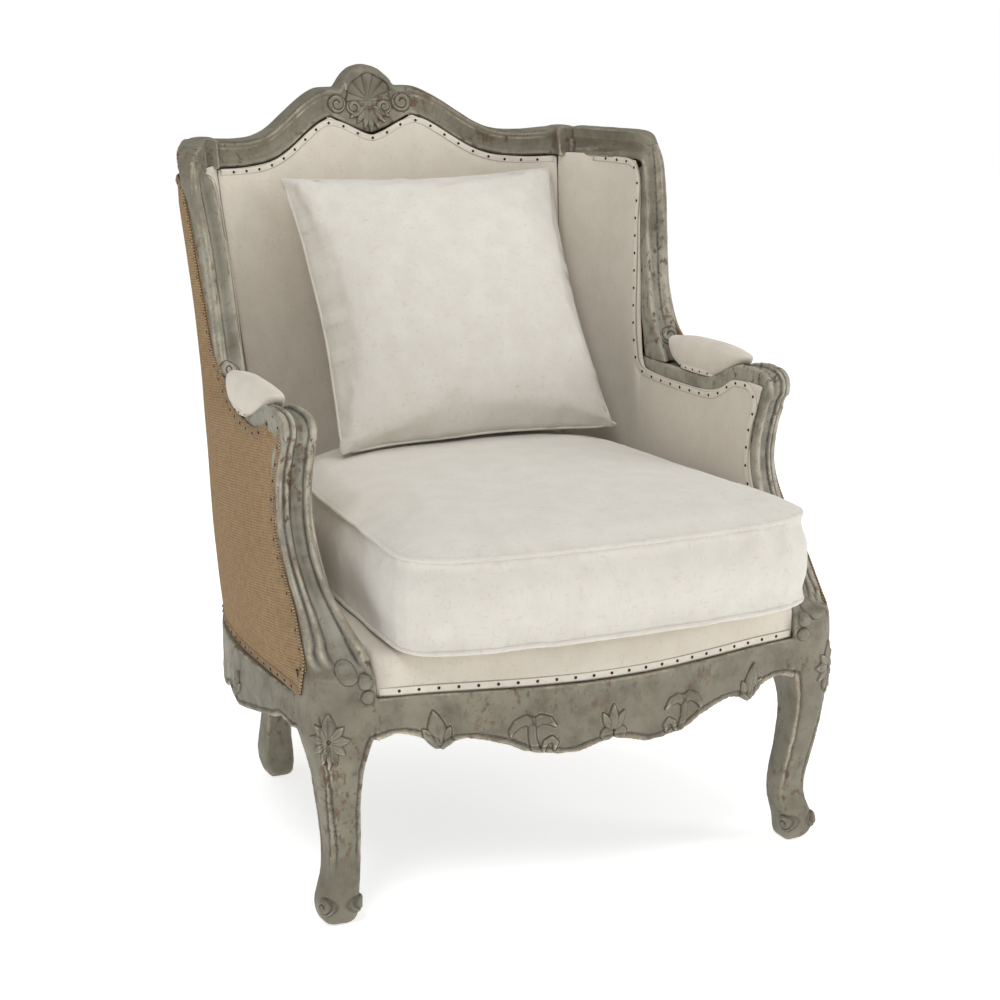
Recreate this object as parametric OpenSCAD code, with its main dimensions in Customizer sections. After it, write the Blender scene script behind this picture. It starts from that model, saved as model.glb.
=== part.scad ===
// Wing-back bergere armchair with a carved and painted wooden frame, linen inside,
// burlap outside, a loose boxed seat cushion and a loose back pillow.
// X runs across the chair, the front faces -Y and Z is up from the floor.

/* [Overall] */
// Height of the crest's top above the floor
total_h = 1055; // [1020:5:1090]
// Distance from the front feet back to the middle of the whole chair's depth
origin_setback = 311.6; // [305:0.1:318]
// Gap left between pieces that are fitted to each other
fit_gap = 0.3; // [0.2:0.05:0.4]

/* [Seat frame] */
// Height of the seat rails' top edge above the floor
rail_top = 313; // [300:1:322]
// Depth of the front and side rails at their deepest point
rail_h = 84; // [76:1:90]
// Thickness of the shaped face of a seat rail
rail_face_t = 24; // [20:1:28]
// Thickness of the straight inner part of a seat rail
rail_core_t = 22; // [16:1:26]
// Height of the straight inner part of a seat rail
rail_core_h = 45; // [38:1:48]
// How far the middle of the front rail bows out in front of the knees
front_bow = 53; // [40:1:60]
// Greatest half width of the chair, at the side rails
side_half = 398; // [385:1:410]
// Length of the tenons on the seat rails
tenon_l = 24; // [16:1:28]
// Thickness of the tenons on the seat rails
tenon_t = 12; // [8:1:14]

/* [Front legs] */
// How far a front knee's centre stands inside the chair's greatest half width
knee_inset = 51; // [44:1:58]
// Distance from the front feet forward to the knees' centres
knee_forward = 19; // [14:1:24]
// Half the width of a knee block
knee_half = 41; // [38:1:43]
// Height of the knee block above the seat rails
knee_rise = 32; // [26:1:36]
// Half the width of a front leg at its ankle
ankle_half = 21; // [18:1:24]

/* [Rear posts] */
// How far a rear post stands inside the chair's greatest half width, at seat height
post_inset = 148; // [142:1:158]
// How far a rear post stands inside the chair's greatest half width, at the crest
post_top_inset = 107; // [103:1:113]
// Half the width of a rear post at the seat
post_half = 21; // [18:1:23]
// Half the width of a rear post at the crest
post_top_half = 18; // [15:1:19]
// Thickness of a rear post from front to back at the crest
post_top_t = 26; // [22:1:30]
// How far a rear foot stands inside its post's foot
rear_foot_in = 18; // [10:1:28]
// Distance from the front feet back to the rear feet
rear_foot_y = 541; // [525:1:555]

/* [Back] */
// Distance from the front feet back to the middle of the inside back, at seat height
back_y = 556; // [545:1:565]
// Depth of the back's hollow curve across its half width
back_bow = 83; // [60:1:92]
// Lean of the inside back from upright, in degrees
back_lean = 12.7; // [10:0.1:14]
// Thickness of the inside back's padding at the seat
back_pad_t = 26; // [20:1:30]
// Thickness of the inside back's padding under the crest
back_pad_top_t = 4; // [3:0.5:6]

/* [Crest rail] */
// Height of the crest's middle above its ears
crest_rise = 95; // [80:1:105]
// Depth of the crest rail beside its ears
crest_h = 45; // [40:1:50]
// Thickness of the crest rail
crest_t = 44; // [40:1:48]
// How far an ear's outer face stands outside the middle of the rear post's top
ear_out = 20; // [15:1:25]
// Width of an ear
ear_w = 36; // [30:1:40]
// How far the middle of an ear stands proud of the crest's face
ear_proud = 3; // [1:1:8]

/* [Arms] */
// How far an arm's inner face stands inside the chair's greatest half width
arm_inset = 67; // [62:1:72]
// Width of an arm support and an arm rail, straight across
arm_w = 43; // [40:1:46]
// How far the face of an arm support is turned outwards, in degrees
arm_turn = 25; // [18:1:28]
// How far an arm is drawn in where the wing stands on it
arm_draw = 10; // [0:1:12]
// Height of the hand-hold's top above the floor
arm_top = 657; // [648:1:664]
// Height of the hand-hold's block
hand_h = 45; // [40:1:48]
// Height of the arm rail behind the hand-hold
arm_rail_h = 30; // [26:1:34]
// Depth of the dip behind the hand-hold, where the arm pad sits
arm_dip = 35; // [28:1:40]
// Distance from the front feet back to the end of the arm's straight part
arm_l = 440; // [430:1:445]
// Length of the arm pad as a share of the arm's straight part
arm_pad_share = 0.455; // [0.41:0.005:0.465]
// Width of the arm pad
arm_pad_w = 41; // [36:1:42]
// Height of the arm pad's crown above the arm rail
arm_pad_h = 47; // [36:1:52]

/* [Wings] */
// Width of a wing's moulded face on its upright
wing_w = 38; // [34:1:42]
// Depth of a wing's section
wing_d = 38; // [34:1:42]
// How far a wing's face stands in front of the end of the arm's straight part
wing_forward = 40; // [36:1:46]
// Radius of a wing's top corner along the middle of its face
wing_corner_r = 40; // [36:1:46]

/* [Covers] */
// Thickness of the burlap outside covers
cover_t = 2.5; // [2:0.5:4]
// Thickness of the inside side padding at its middle
side_pad_t = 11; // [8:1:12]
// Rise of the inside back's crown
back_crown = 8; // [4:1:12]

/* [Sprung seat] */
// Width of a webbing strap
web_w = 50; // [40:1:55]
// Thickness of a webbing strap
web_t = 1.6; // [1.2:0.1:2]
// Height of a seat spring
spring_h = 70; // [60:1:80]
// Radius of a seat spring's end coils
spring_r = 36; // [30:1:40]
// Thickness of the spring wire
spring_wire = 3.6; // [3:0.1:4]
// Turns in a seat spring
spring_turns = 4; // [3:1:5]
// Thickness of the hessian over the springs
hessian_t = 1.5; // [1:0.1:2]
// Thickness of the stuffed seat platform
platform_t = 34; // [26:1:38]
// Thickness of the dust cover
dust_t = 1; // [0.8:0.1:1.5]

/* [Seat cushion] */
// Gap between the seat cushion's front corner and the line of the arm's inner face
cushion_clear = 31; // [27:1:46]
// How far the seat cushion sits to the right of the chair's middle
cushion_shift = 12; // [0:1:14]
// Width of the seat cushion's back as a share of its front
cushion_back_share = 0.74; // [0.67:0.01:0.76]
// Distance from the seat cushion's front to its back
cushion_l = 695; // [660:1:705]
// Height of the seat cushion's boxed side
cushion_side_h = 122; // [105:1:130]
// Rise of the seat cushion's crown above its top piping
cushion_crown = 32; // [20:1:40]
// Diameter of the piping
piping_d = 8; // [6:1:10]

/* [Back pillow] */
// Length of the square pillow's sides as a share of the clear width between the arms
pillow_share = 0.683; // [0.64:0.001:0.695]
// Thickness of the pillow at its middle
pillow_t = 135; // [110:1:145]
// Lean of the pillow from upright, in degrees
pillow_lean = 31.5; // [28:0.5:33]
// How far the pillow sits to the right of the chair's middle
pillow_shift = 37; // [0:1:40]

/* [Hidden] */

// Finishes
paint = "#9b9a8a";
linen = "#e4dccd";
burlap = "#b28f62";
beech = "#c9a778";
jute = "#b79c6b";
steel = "#8d9094";
black_cloth = "#3a3836";

// Widths and lengths worked out from the sizes above
knee_x = side_half - knee_inset;
post_x = side_half - post_inset;
post_top_x = side_half - post_top_inset;
rear_foot_x = post_x - rear_foot_in;
ear_outer = post_top_x + ear_out;
arm_in = side_half - arm_inset;
wing_y = arm_l - wing_forward;
cushion_half = arm_in - cushion_clear;
cushion_back_half = cushion_half * cushion_back_share;
pillow_w = 2 * arm_in * pillow_share;

// Heights worked out from the sizes above
knee_top = rail_top + knee_rise;
ear_z = total_h - crest_rise;
under_z = ear_z - crest_h;
core_z = rail_top - rail_core_h;
rail_t = rail_face_t + rail_core_t;
knee_y = -knee_forward;
knee_front = knee_y - knee_half;
knee_back = knee_y + knee_half;
knee_inner = knee_x - knee_half;
arm_out = arm_in + arm_w;
arm_x = arm_in + arm_w / 2;
hand_z = arm_top - hand_h;
lean_slope = tan(back_lean);

// Number of facets to a quarter of a rounded corner
corner_steps = 4;
// Overrun that lets a cut pass clean through a face
overrun = 1;

// Plain arithmetic
function mix(a, b, s) = a + (b - a) * s;
function clamp01(s) = min(1, max(0, s));
function spow(a, p) = sign(a) * pow(abs(a), p);
function total(v, i = 0, acc = 0) = i >= len(v) ? acc : total(v, i + 1, acc + v[i]);
function quad(a, b, c, d) = [[a, b, c], [a, c, d]];
function flipped(face) = [for (i = [len(face) - 1:-1:0]) face[i]];

// Six times the volume inside a set of triangles, negative when they face inwards
function signed_volume(points, faces) =
    total([for (f = faces) for (i = [1:len(f) - 2])
        points[f[0]] * cross(points[f[i + 1]], points[f[i]])]);

// Closed mesh whose faces are turned outwards
module closed_mesh(points, faces) {
    outwards = signed_volume(points, faces) > 0;
    polyhedron(points = points, faces = outwards ? faces : [for (f = faces) flipped(f)],
        convexity = 6);
}

// Solid through rings with equal numbers of points, closed by flat ends
module loft(rings) {
    n = len(rings[0]);
    m = len(rings);
    walls = [for (j = [0:m - 2]) for (i = [0:n - 1])
        let (k = (i + 1) % n)
        each quad(j * n + i, (j + 1) * n + i, (j + 1) * n + k, j * n + k)];
    low_end = [for (i = [0:n - 1]) i];
    high_end = [for (i = [0:n - 1]) m * n - 1 - i];
    closed_mesh([for (ring = rings) each ring], concat([low_end, high_end], walls));
}

// Solid through rings, closed by a point at each end
module tipped_loft(rings, low_tip, high_tip) {
    n = len(rings[0]);
    m = len(rings);
    low = m * n;
    high = m * n + 1;
    walls = [for (j = [0:m - 2]) for (i = [0:n - 1])
        let (k = (i + 1) % n)
        each quad(j * n + i, (j + 1) * n + i, (j + 1) * n + k, j * n + k)];
    low_fan = [for (i = [0:n - 1]) [low, i, (i + 1) % n]];
    high_fan = [for (i = [0:n - 1]) [high, (m - 1) * n + (i + 1) % n, (m - 1) * n + i]];
    closed_mesh(concat([for (ring = rings) each ring], [low_tip, high_tip]),
        concat(walls, low_fan, high_fan));
}

// Solid between two grids of points that share the same rows and columns
module slab(face, back) {
    rows = len(face);
    cols = len(face[0]);
    far = rows * cols;
    function at(r, c) = r * cols + c;
    skins = [for (r = [0:rows - 2]) for (c = [0:cols - 2]) each concat(
        quad(at(r, c), at(r + 1, c), at(r + 1, c + 1), at(r, c + 1)),
        quad(far + at(r, c), far + at(r, c + 1), far + at(r + 1, c + 1), far + at(r + 1, c)))];
    ends = [for (c = [0:cols - 2]) each concat(
        quad(at(0, c), at(0, c + 1), far + at(0, c + 1), far + at(0, c)),
        quad(at(rows - 1, c + 1), at(rows - 1, c), far + at(rows - 1, c),
            far + at(rows - 1, c + 1)))];
    sides = [for (r = [0:rows - 2]) each concat(
        quad(at(r + 1, 0), at(r, 0), far + at(r, 0), far + at(r + 1, 0)),
        quad(at(r, cols - 1), at(r + 1, cols - 1), far + at(r + 1, cols - 1),
            far + at(r, cols - 1)))];
    closed_mesh(concat([for (row = face) each row], [for (row = back) each row]),
        concat(skins, ends, sides));
}

// Everything is drawn from the front feet and set back to the middle of the chair
module placed() translate([0, -origin_setback, 0]) children();
module left_side() mirror([1, 0, 0]) children();

// Square outline with its own rounding at each corner, from the inner front corner round
function corner_ring(half, radii) =
    [for (q = [0:3]) for (i = [0:corner_steps])
        let (turn = 180 + 90 * (q + i / corner_steps),
            side = q == 1 || q == 2 ? 1 : -1,
            end = q >= 2 ? 1 : -1)
        [side * (half - radii[q]) + radii[q] * cos(turn),
            end * (half - radii[q]) + radii[q] * sin(turn)]];

// Inside back: its face, how its padding thins upwards and the posts behind it
function back_face_y(x, z) =
    back_y - back_bow * pow(x / post_top_x, 2) + (z - rail_top) * lean_slope;
function rise_share(z) = (z - rail_top) / (under_z - rail_top);
function pad_depth(z) = mix(back_pad_t, back_pad_top_t, clamp01(rise_share(z)));
function post_x_at(z) = mix(post_x, post_top_x, rise_share(z));
function post_half_at(z) = mix(post_half, post_top_half, clamp01(rise_share(z)));
function post_deep_at(z) = mix(post_half, post_top_t / 2, clamp01(rise_share(z)));
function post_front_y(z) =
    back_face_y(post_x_at(z) - post_half_at(z), z) + pad_depth(z) + fit_gap;
function post_y_at(z) = post_front_y(z) + post_deep_at(z);

// Half width of the inside back where the side padding meets it
edge_inset = 14;
function edge_x(z) = post_x_at(z) - edge_inset;

// Plan of the front rail: a shallow bow between the knees
front_bow_power = 1.8;
function rail_front_y(x) =
    knee_front - front_bow * pow(max(0, 1 - pow(x / knee_inner, 2)), front_bow_power);

// Plan of the sides: nearly straight in front, then swept in to the rear posts
sweep_power = 2.4;
close_power = 0.9;
side_start_y = 160;
side_front_in = 9;
function swept(s) = pow(1 - pow(clamp01(s), sweep_power), close_power);
rail_lap_x = 8;
rail_lap_y = 4;
rail_end_x = post_x + post_half - rail_lap_x;
rail_end_y = post_front_y(rail_top) + rail_lap_y;
function rail_side_x(y) = y < side_start_y
    ? side_half - side_front_in * pow((side_start_y - y) / side_start_y, 2)
    : mix(rail_end_x, side_half, swept((y - side_start_y) / (rail_end_y - side_start_y)));

// Front line of an arm support: height share between knee and hand-hold, reach share
arm_line_shares = [[0, -0.56], [0.07, -0.42], [0.17, -0.15], [0.245, 0.06], [0.357, 0.41],
    [0.469, 0.72], [0.58, 0.89], [0.69, 0.94], [0.8, 0.92], [0.91, 0.83], [1, 0.72], [1.12, 0.6]];
// Reach of the arm support's hollow behind the front feet
arm_reach = 100; // distance that a share of 1 stands for
arm_span = hand_z - knee_top;
function arm_line_y(z) = arm_reach * lookup((z - knee_top) / arm_span, arm_line_shares);

// Front leg: height share, reach out, reach forward, ankle share, knee share, outer rounding
leg_shares = [
    [0, -0.10, 0.16, 0.62, 0, 0.8], [0.015, -0.10, 0.26, 0.95, 0, 0.8],
    [0.052, -0.05, 0.42, 1.14, 0, 0.7], [0.1, -0.02, 0.42, 1.17, 0, 0.6],
    [0.174, -0.48, 0, 1.02, 0, 0.5], [0.246, -0.57, -0.05, 1, 0, 0.45],
    [0.348, -0.45, 0.37, 1.02, 0, 0.5], [0.464, -0.17, 0.74, 1.1, 0.02, 0.6],
    [0.58, 0, 1.08, 1.1, 0.16, 0.8], [0.667, 0.07, 1.16, 1.1, 0.44, 1],
    [0.748, 0.02, 1.03, 1.1, 0.83, 1.2], [0.8, 0, 1, 1, 1, 1.3], [1, 0, 1, 1, 1, 1.3]];
// Rounding of a leg's other corners, and of the knee block's flat faces
leg_round_share = 0.3;
knee_round = 3;
function leg_ring(s) =
    let (half = mix(ankle_half * s[3], knee_half, s[4]),
        soft = mix(half * leg_round_share, knee_round, clamp01(s[4])),
        cx = knee_x + ankle_half * s[1],
        cy = -knee_forward * s[2])
    [for (p = corner_ring(half, [soft, half * s[5], soft, soft]))
        [cx + p[0], cy + p[1], knee_top * s[0]]];

// Mortise for the tenon of a rail, cut into a leg or a post
tenon_h_share = 0.62;
tenon_h = rail_core_h * tenon_h_share;
tenon_z = core_z + (rail_core_h - tenon_h) / 2;
rail_mid_y = knee_front + rail_face_t + rail_core_t / 2;
side_mid_x = rail_side_x(knee_back) - rail_face_t - rail_core_t / 2;
module front_tenon(gap) {
    translate([knee_inner - overrun, rail_mid_y - tenon_t / 2 - gap, tenon_z - gap])
        cube([tenon_l + overrun + gap, tenon_t + 2 * gap, tenon_h + 2 * gap]);
}
module side_tenon(gap) {
    translate([side_mid_x - tenon_t / 2 - gap, knee_back - tenon_l - gap, tenon_z - gap])
        cube([tenon_t + 2 * gap, tenon_l + overrun + gap, tenon_h + 2 * gap]);
}
module front_leg() color(paint) placed() difference() {
    loft([for (s = leg_shares) leg_ring(s)]);
    front_tenon(fit_gap);
    side_tenon(fit_gap);
}
module front_leg_right() front_leg();
module front_leg_left() left_side() front_leg();

// Rear leg and back post in one piece: height share below the seat, back, hollow, half share
rear_leg_hollow = 20;
rear_leg_shares = [
    [0, 0, 0, 0.62], [0.023, 0, 0, 0.9], [0.08, 0.05, -0.15, 1.06], [0.15, 0.1, -0.25, 1.09],
    [0.23, 0.2, 0, 1], [0.38, 0.38, 0.75, 0.9], [0.57, 0.57, 0.8, 0.92], [0.76, 0.76, 0.5, 0.96],
    [1, 1, 0, 1]];
post_levels = [0.2, 0.4, 0.6, 0.8, 1];
post_round_share = 0.25;
post_foot_z = core_z - fit_gap;
function post_ring(cx, cy, z, half, deep) =
    let (soft = half * post_round_share)
    [for (p = corner_ring(half, [soft, soft, soft, soft]))
        [cx + p[0], cy + p[1] * deep / half, z]];
module rear_post() color(paint) placed() {
    below = [for (s = rear_leg_shares) post_ring(
        mix(rear_foot_x, post_x_at(post_foot_z), s[1]),
        mix(rear_foot_y, post_y_at(post_foot_z), s[1]) - rear_leg_hollow * s[2],
        post_foot_z * s[0], post_half_at(post_foot_z) * s[3], post_deep_at(post_foot_z) * s[3])];
    above = [for (s = post_levels)
        let (z = mix(post_foot_z, under_z - fit_gap, s))
        post_ring(post_x_at(z), post_y_at(z), z, post_half_at(z), post_deep_at(z))];
    loft(concat(below, above));
}
module rear_post_right() rear_post();
module rear_post_left() left_side() rear_post();

// Scalloped lower edge of the front rail: share of the half span, share of the rail's depth
apron_shares = [[0, 0.93], [0.08, 1], [0.16, 1.09], [0.25, 1.08], [0.34, 1.03], [0.39, 1],
    [0.45, 0.89], [0.54, 0.79], [0.6, 0.74], [0.625, 0.72], [0.69, 0.77], [0.73, 0.87],
    [0.76, 0.86], [0.775, 0.75], [0.82, 0.66], [0.87, 0.6], [0.92, 0.57], [0.97, 0.62], [1, 0.66]];
// Points along half of the front rail's plan
rail_plan_shares = [for (i = [0:12]) i / 12];
function both_halves(v) = concat([for (i = [len(v) - 1:-1:1]) [-v[i][0], v[i][1]]], v);
function rail_plan(depth_in, far) = concat(
    both_halves([for (s = rail_plan_shares)
        [(knee_inner - fit_gap) * s, rail_front_y(knee_inner * s) + depth_in]]),
    [for (s = [1, -1]) [(knee_inner - fit_gap) * s, far]]);
module front_rail() color(paint) placed() difference() {
    face_back = knee_front + rail_face_t;
    union() {
        intersection() {
            linear_extrude(rail_top) polygon(rail_plan(0, face_back));
            translate([0, face_back + overrun, 0]) rotate([90, 0, 0])
                linear_extrude(front_bow + 2 * rail_face_t) polygon(concat(
                    both_halves([for (s = apron_shares)
                        [knee_inner * s[0], rail_top - rail_h * s[1]]]),
                    [for (s = [1, -1]) [knee_inner * s, rail_top]]));
        }
        translate([-knee_inner + fit_gap, face_back - overrun, core_z])
            cube([2 * (knee_inner - fit_gap), rail_core_t + overrun, rail_core_h]);
        front_tenon(0);
        left_side() front_tenon(0);
    }
    both_sides() front_block_screws(screw_hole_gap);
}

// Scalloped lower edge of a side rail: share of its length, share of the rail's depth
side_apron_shares = [[0, 0.64], [0.06, 0.5], [0.11, 0.62], [0.17, 0.68], [0.24, 0.77],
    [0.32, 0.87], [0.39, 0.94], [0.45, 0.87], [0.49, 0.79], [0.53, 0.87], [0.59, 0.94],
    [0.66, 0.87], [0.74, 0.77], [0.81, 0.68], [0.87, 0.62], [0.93, 0.5], [1, 0.58]];
side_plan_steps = 26;
side_rail_start = knee_back + fit_gap;
side_rail_end = post_front_y(core_z) - 2 * fit_gap;
function side_plan(inset, thick) =
    let (ys = [for (i = [0:side_plan_steps])
        mix(side_rail_start, side_rail_end, i / side_plan_steps)])
    concat([for (y = ys) [rail_side_x(y) - inset, y]],
        [for (i = [side_plan_steps:-1:0]) [rail_side_x(ys[i]) - inset - thick, ys[i]]]);
module side_rail() color(paint) placed() difference() {
    union() {
        intersection() {
            linear_extrude(rail_top) polygon(side_plan(0, rail_face_t));
            rotate([90, 0, 90]) linear_extrude(2 * side_half) polygon(concat(
                [for (s = side_apron_shares)
                    [mix(side_rail_start, side_rail_end, s[0]), rail_top - rail_h * s[1]]],
                [[side_rail_end, rail_top], [side_rail_start, rail_top]]));
        }
        translate([0, 0, core_z]) linear_extrude(rail_core_h)
            polygon(side_plan(rail_face_t - fit_gap, rail_core_t));
        side_tenon(0);
    }
    front_block_screws(screw_hole_gap);
    rear_block_screws(screw_hole_gap);
}
module side_rail_right() side_rail();
module side_rail_left() left_side() side_rail();

// Back seat rail between the posts
back_steps = 12;
function back_band(half, z, near, far) =
    let (xs = [for (i = [-back_steps:back_steps]) half * i / back_steps])
    concat([for (x = xs) [x, back_face_y(x, z) + near]],
        [for (i = [2 * back_steps:-1:0]) [xs[i], back_face_y(xs[i], z) + far]]);
back_rail_step = 4;
back_rail_near = back_pad_t + back_rail_step;
back_rail_far = back_pad_t + 2 * post_half + 2 * fit_gap + cover_t;
module back_rail() color(paint) placed() difference() {
    translate([0, 0, core_z]) linear_extrude(rail_core_h)
        polygon(back_band(post_x_at(core_z) - post_half - fit_gap, rail_top,
            back_rail_near, back_rail_far));
    both_sides() rear_block_screws(screw_hole_gap);
}

// Moulded face of the arms and wings, from two ridges inside over a plain hollow to three
// ridges outside: share across, share of the depth
moulding_shares = [[-0.46, 1], [-0.5, 0.8], [-0.5, 0.2], [-0.475, 0.06], [-0.43, 0],
    [-0.38, 0.06], [-0.33, 0.01], [-0.27, 0.09], [-0.14, 0.16], [0, 0.13], [0.09, 0.06],
    [0.15, 0], [0.2, 0.01], [0.25, 0.07], [0.31, 0], [0.37, 0.07], [0.43, 0], [0.48, 0.07],
    [0.5, 0.22], [0.5, 0.8], [0.46, 1]];
// Ring of a moulded member between its face point and its back point
function member_ring(face, back, across) =
    [for (s = moulding_shares) face + across * s[0] + (back - face) * s[1]];

// Arm support: height share, how far its outer and inner back corners stand behind its face's
// inner edge, rise of its back edge, share of its reach over the knee, width and turn shares
arm_support_shares = [[0.003, 0.76, 0.14, 0, 1, 1.74, 1.1], [0.07, 0.7, 0.14, -0.06, 0.97, 1.71, 1.08],
    [0.12, 0.68, 0.14, -0.08, 0.85, 1.62, 1.05], [0.17, 0.64, 0.14, -0.1, 0.62, 1.45, 1],
    [0.245, 0.58, 0.14, -0.13, 0.3, 1.22, 1], [0.357, 0.56, 0.14, -0.16, 0, 1.05, 1],
    [0.469, 0.55, 0.45, -0.16, 0, 1, 1], [0.58, 0.55, 0.45, -0.08, 0, 1, 1],
    [0.69, 0.55, 0.45, -0.02, 0, 1, 1], [0.8, 0.55, 0.45, 0.03, 0, 1, 0.95],
    [0.91, 0.56, 0.45, 0.03, 0, 1, 0.85], [0.997, 0.62, 0.5, 0, 0, 1, 0.75]];
function support_share(z, k) = lookup((z - knee_top) / arm_span,
    [for (s = arm_support_shares) [s[0], s[k]]]);
function support_in_x(z) = arm_in - (arm_in - knee_inner) * support_share(z, 4);
function support_w(z) = arm_w * support_share(z, 5);
// How far the outer edge of the support's face is set back behind its inner edge
function support_turn_y(z) = support_w(z) * tan(arm_turn * support_share(z, 6));
module arm_support() color(paint) placed() loft([for (s = arm_support_shares)
    let (z = mix(knee_top, hand_z, s[0]), inner_y = arm_line_y(z), turn_y = support_turn_y(z))
    [for (m = moulding_shares)
        let (across = m[0] + 0.5)
        [support_in_x(z) + support_w(z) * across,
            mix(inner_y + turn_y * across, inner_y + arm_reach * mix(s[2], s[1], across), m[1]),
            z + arm_reach * s[3] * m[1]]]]);
module arm_support_right() arm_support();
module arm_support_left() left_side() arm_support();

// How far the arm and the wing on it stand outside the line of the hand-hold
arm_draw_start = 200;
arm_draw_end = 390;
arm_draw_power = 1.3;
wing_lean_power = 2.2;
function wing_share(z) = clamp01((z - wing_foot_z) / (wing_bend_z - wing_foot_z));
function drawn_x(y, z) =
    pow(clamp01((y - arm_draw_start) / (arm_draw_end - arm_draw_start)), arm_draw_power)
        * mix(-arm_draw, wing_in_top, pow(wing_share(z), wing_lean_power));

// Side surfaces: the burlap outside and the linen inside of arm and wing
outer_level_shares = [[0, 0.983], [0.14, 0.985], [0.24, 0.976], [0.31, 0.967], [0.43, 0.95],
    [0.57, 0.937], [0.7, 0.931], [0.78, 0.933], [0.84, 0.938], [1, 0.943]];
outer_start_slope = 0.5;
cover_sweep_power = 2.2;
cover_gap = 0.8; // between the burlap and the wood that it passes over
pad_edge_t = 3;
inner_start_y = 330;
inner_start_slope = 0.25;
pad_end_share = 0.3;
pad_gap = 0.8;
function outer_start_y(z) = side_start_y + outer_start_slope * (z - rail_top);
function member_out_x(y, z) = z < wing_foot_z
    ? support_in_x(z) + support_w(z) + drawn_x(y, z)
    : arm_in + wing_w * wing_width_share(wing_share(z))
        + drawn_x(min(y, wing_face_y(wing_share(z))), z);
function frame_out_x(y, z) = member_out_x(y, z) + cover_t + cover_gap;
function outer_most_x(y, z) =
    max(side_half * lookup(rise_share(z), outer_level_shares), frame_out_x(y, z) + fit_gap);
function cover_body_x(y, z) =
    let (start = outer_start_y(z), most = outer_most_x(y, z), front = arm_line_y(z),
        end = post_x_at(z) + post_half_at(z) + cover_t + fit_gap, end_y = post_y_at(z))
    y < start
        ? most - (most - frame_out_x(y, z)) * pow(clamp01((start - y) / (start - front)), 2)
        : mix(end, most, pow(1 - pow(clamp01((y - start) / (end_y - start)), cover_sweep_power),
            close_power));
function cover_x(y, z) = let (body = cover_body_x(y, z), frame_x = frame_out_x(y, z),
        behind = y - wing_face_y(wing_share(z)))
    z < wing_foot_z ? body
        : behind < wing_d ? mix(frame_x, max(frame_x, body), pow(clamp01(behind / wing_d), 2))
        : mix(max(frame_x, body), body, clamp01(behind / wing_d - 1));
function inner_end_y(z) = back_face_y(edge_x(z), z) + pad_depth(z) * pad_end_share;
function pad_x(y, z) =
    let (start = inner_start_y + inner_start_slope * (z - rail_top),
        out = arm_in - pad_gap + drawn_x(y, z))
    y < start ? out
        : mix(edge_x(z) + fit_gap + pad_edge_t, out,
            swept((y - start) / (inner_end_y(z) - start)));

// Arm rail from the nose of the hand-hold back: y share and height share of its face within
// the hand-hold, share of the dip, y share of its underside, how far that has dropped, and
// share of the support's turn
arm_rail_shares = [[0.163, 0.015, 0, 0.262, 0, 0.75], [0.15, 0.16, 0, 0.268, 0, 0.72],
    [0.141, 0.38, 0, 0.275, 0, 0.7], [0.142, 0.62, 0, 0.283, 0, 0.66],
    [0.157, 0.84, 0, 0.292, 0, 0.6], [0.19, 0.97, 0, 0.303, 0, 0.5],
    [0.25, 1.02, 0, 0.318, 0, 0.35], [0.336, 1, 0, 0.34, 0, 0.1], [0.373, 1, 0.17, 0.365, 0.33, 0],
    [0.414, 1, 0.34, 0.402, 0.6, 0], [0.455, 1, 0.6, 0.445, 0.83, 0], [0.493, 1, 0.86, 0.489, 0.95, 0],
    [0.623, 1, 1, 0.623, 1, 0], [0.707, 1, 0.89, 0.707, 0.8, 0], [0.9, 1, 0.89, 0.9, 0.8, 0]];
// Share of the way from the arm's straight end back to the rear post, share of its narrowing
arm_tail_shares = [[0.1, 0.5], [0.22, 0.8], [0.38, 1], [0.58, 1], [0.8, 1], [1, 1]];
arm_tail_w = 30;
arm_low_z = arm_top - arm_dip - arm_rail_h;
function arm_top_z(s) = arm_top - hand_h * (1 - s[1]) - arm_dip * s[2];
function arm_under_z(s) = mix(hand_z + fit_gap, arm_low_z, s[4]);
function wall_mid_x(y, z) = (pad_x(y, z) + cover_x(y, z) - cover_t) / 2;
module arm_rail() color(paint) placed() {
    last = arm_rail_shares[len(arm_rail_shares) - 1];
    tail_z = (arm_top_z(last) + arm_under_z(last)) / 2;
    tail_end = post_front_y(arm_under_z(last)) - 2 * fit_gap;
    straight = [for (s = arm_rail_shares)
        let (x = arm_x + drawn_x(arm_l * s[0], arm_top), turn_y = arm_w * tan(arm_turn * s[5]))
        member_ring([x, arm_l * s[0] + turn_y / 2, arm_top_z(s)],
            [x, arm_l * s[3] + turn_y / 2, arm_under_z(s)], [arm_w, turn_y, 0])];
    tail = [for (s = arm_tail_shares)
        let (y = mix(arm_l * last[0], tail_end, s[0]), x = wall_mid_x(y, tail_z))
        member_ring([x, y, arm_top_z(last)], [x, y, arm_under_z(last)],
            [mix(arm_w, arm_tail_w, s[1]), 0, 0])];
    loft(concat(straight, tail));
}
module arm_rail_right() arm_rail();
module arm_rail_left() left_side() arm_rail();

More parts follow.
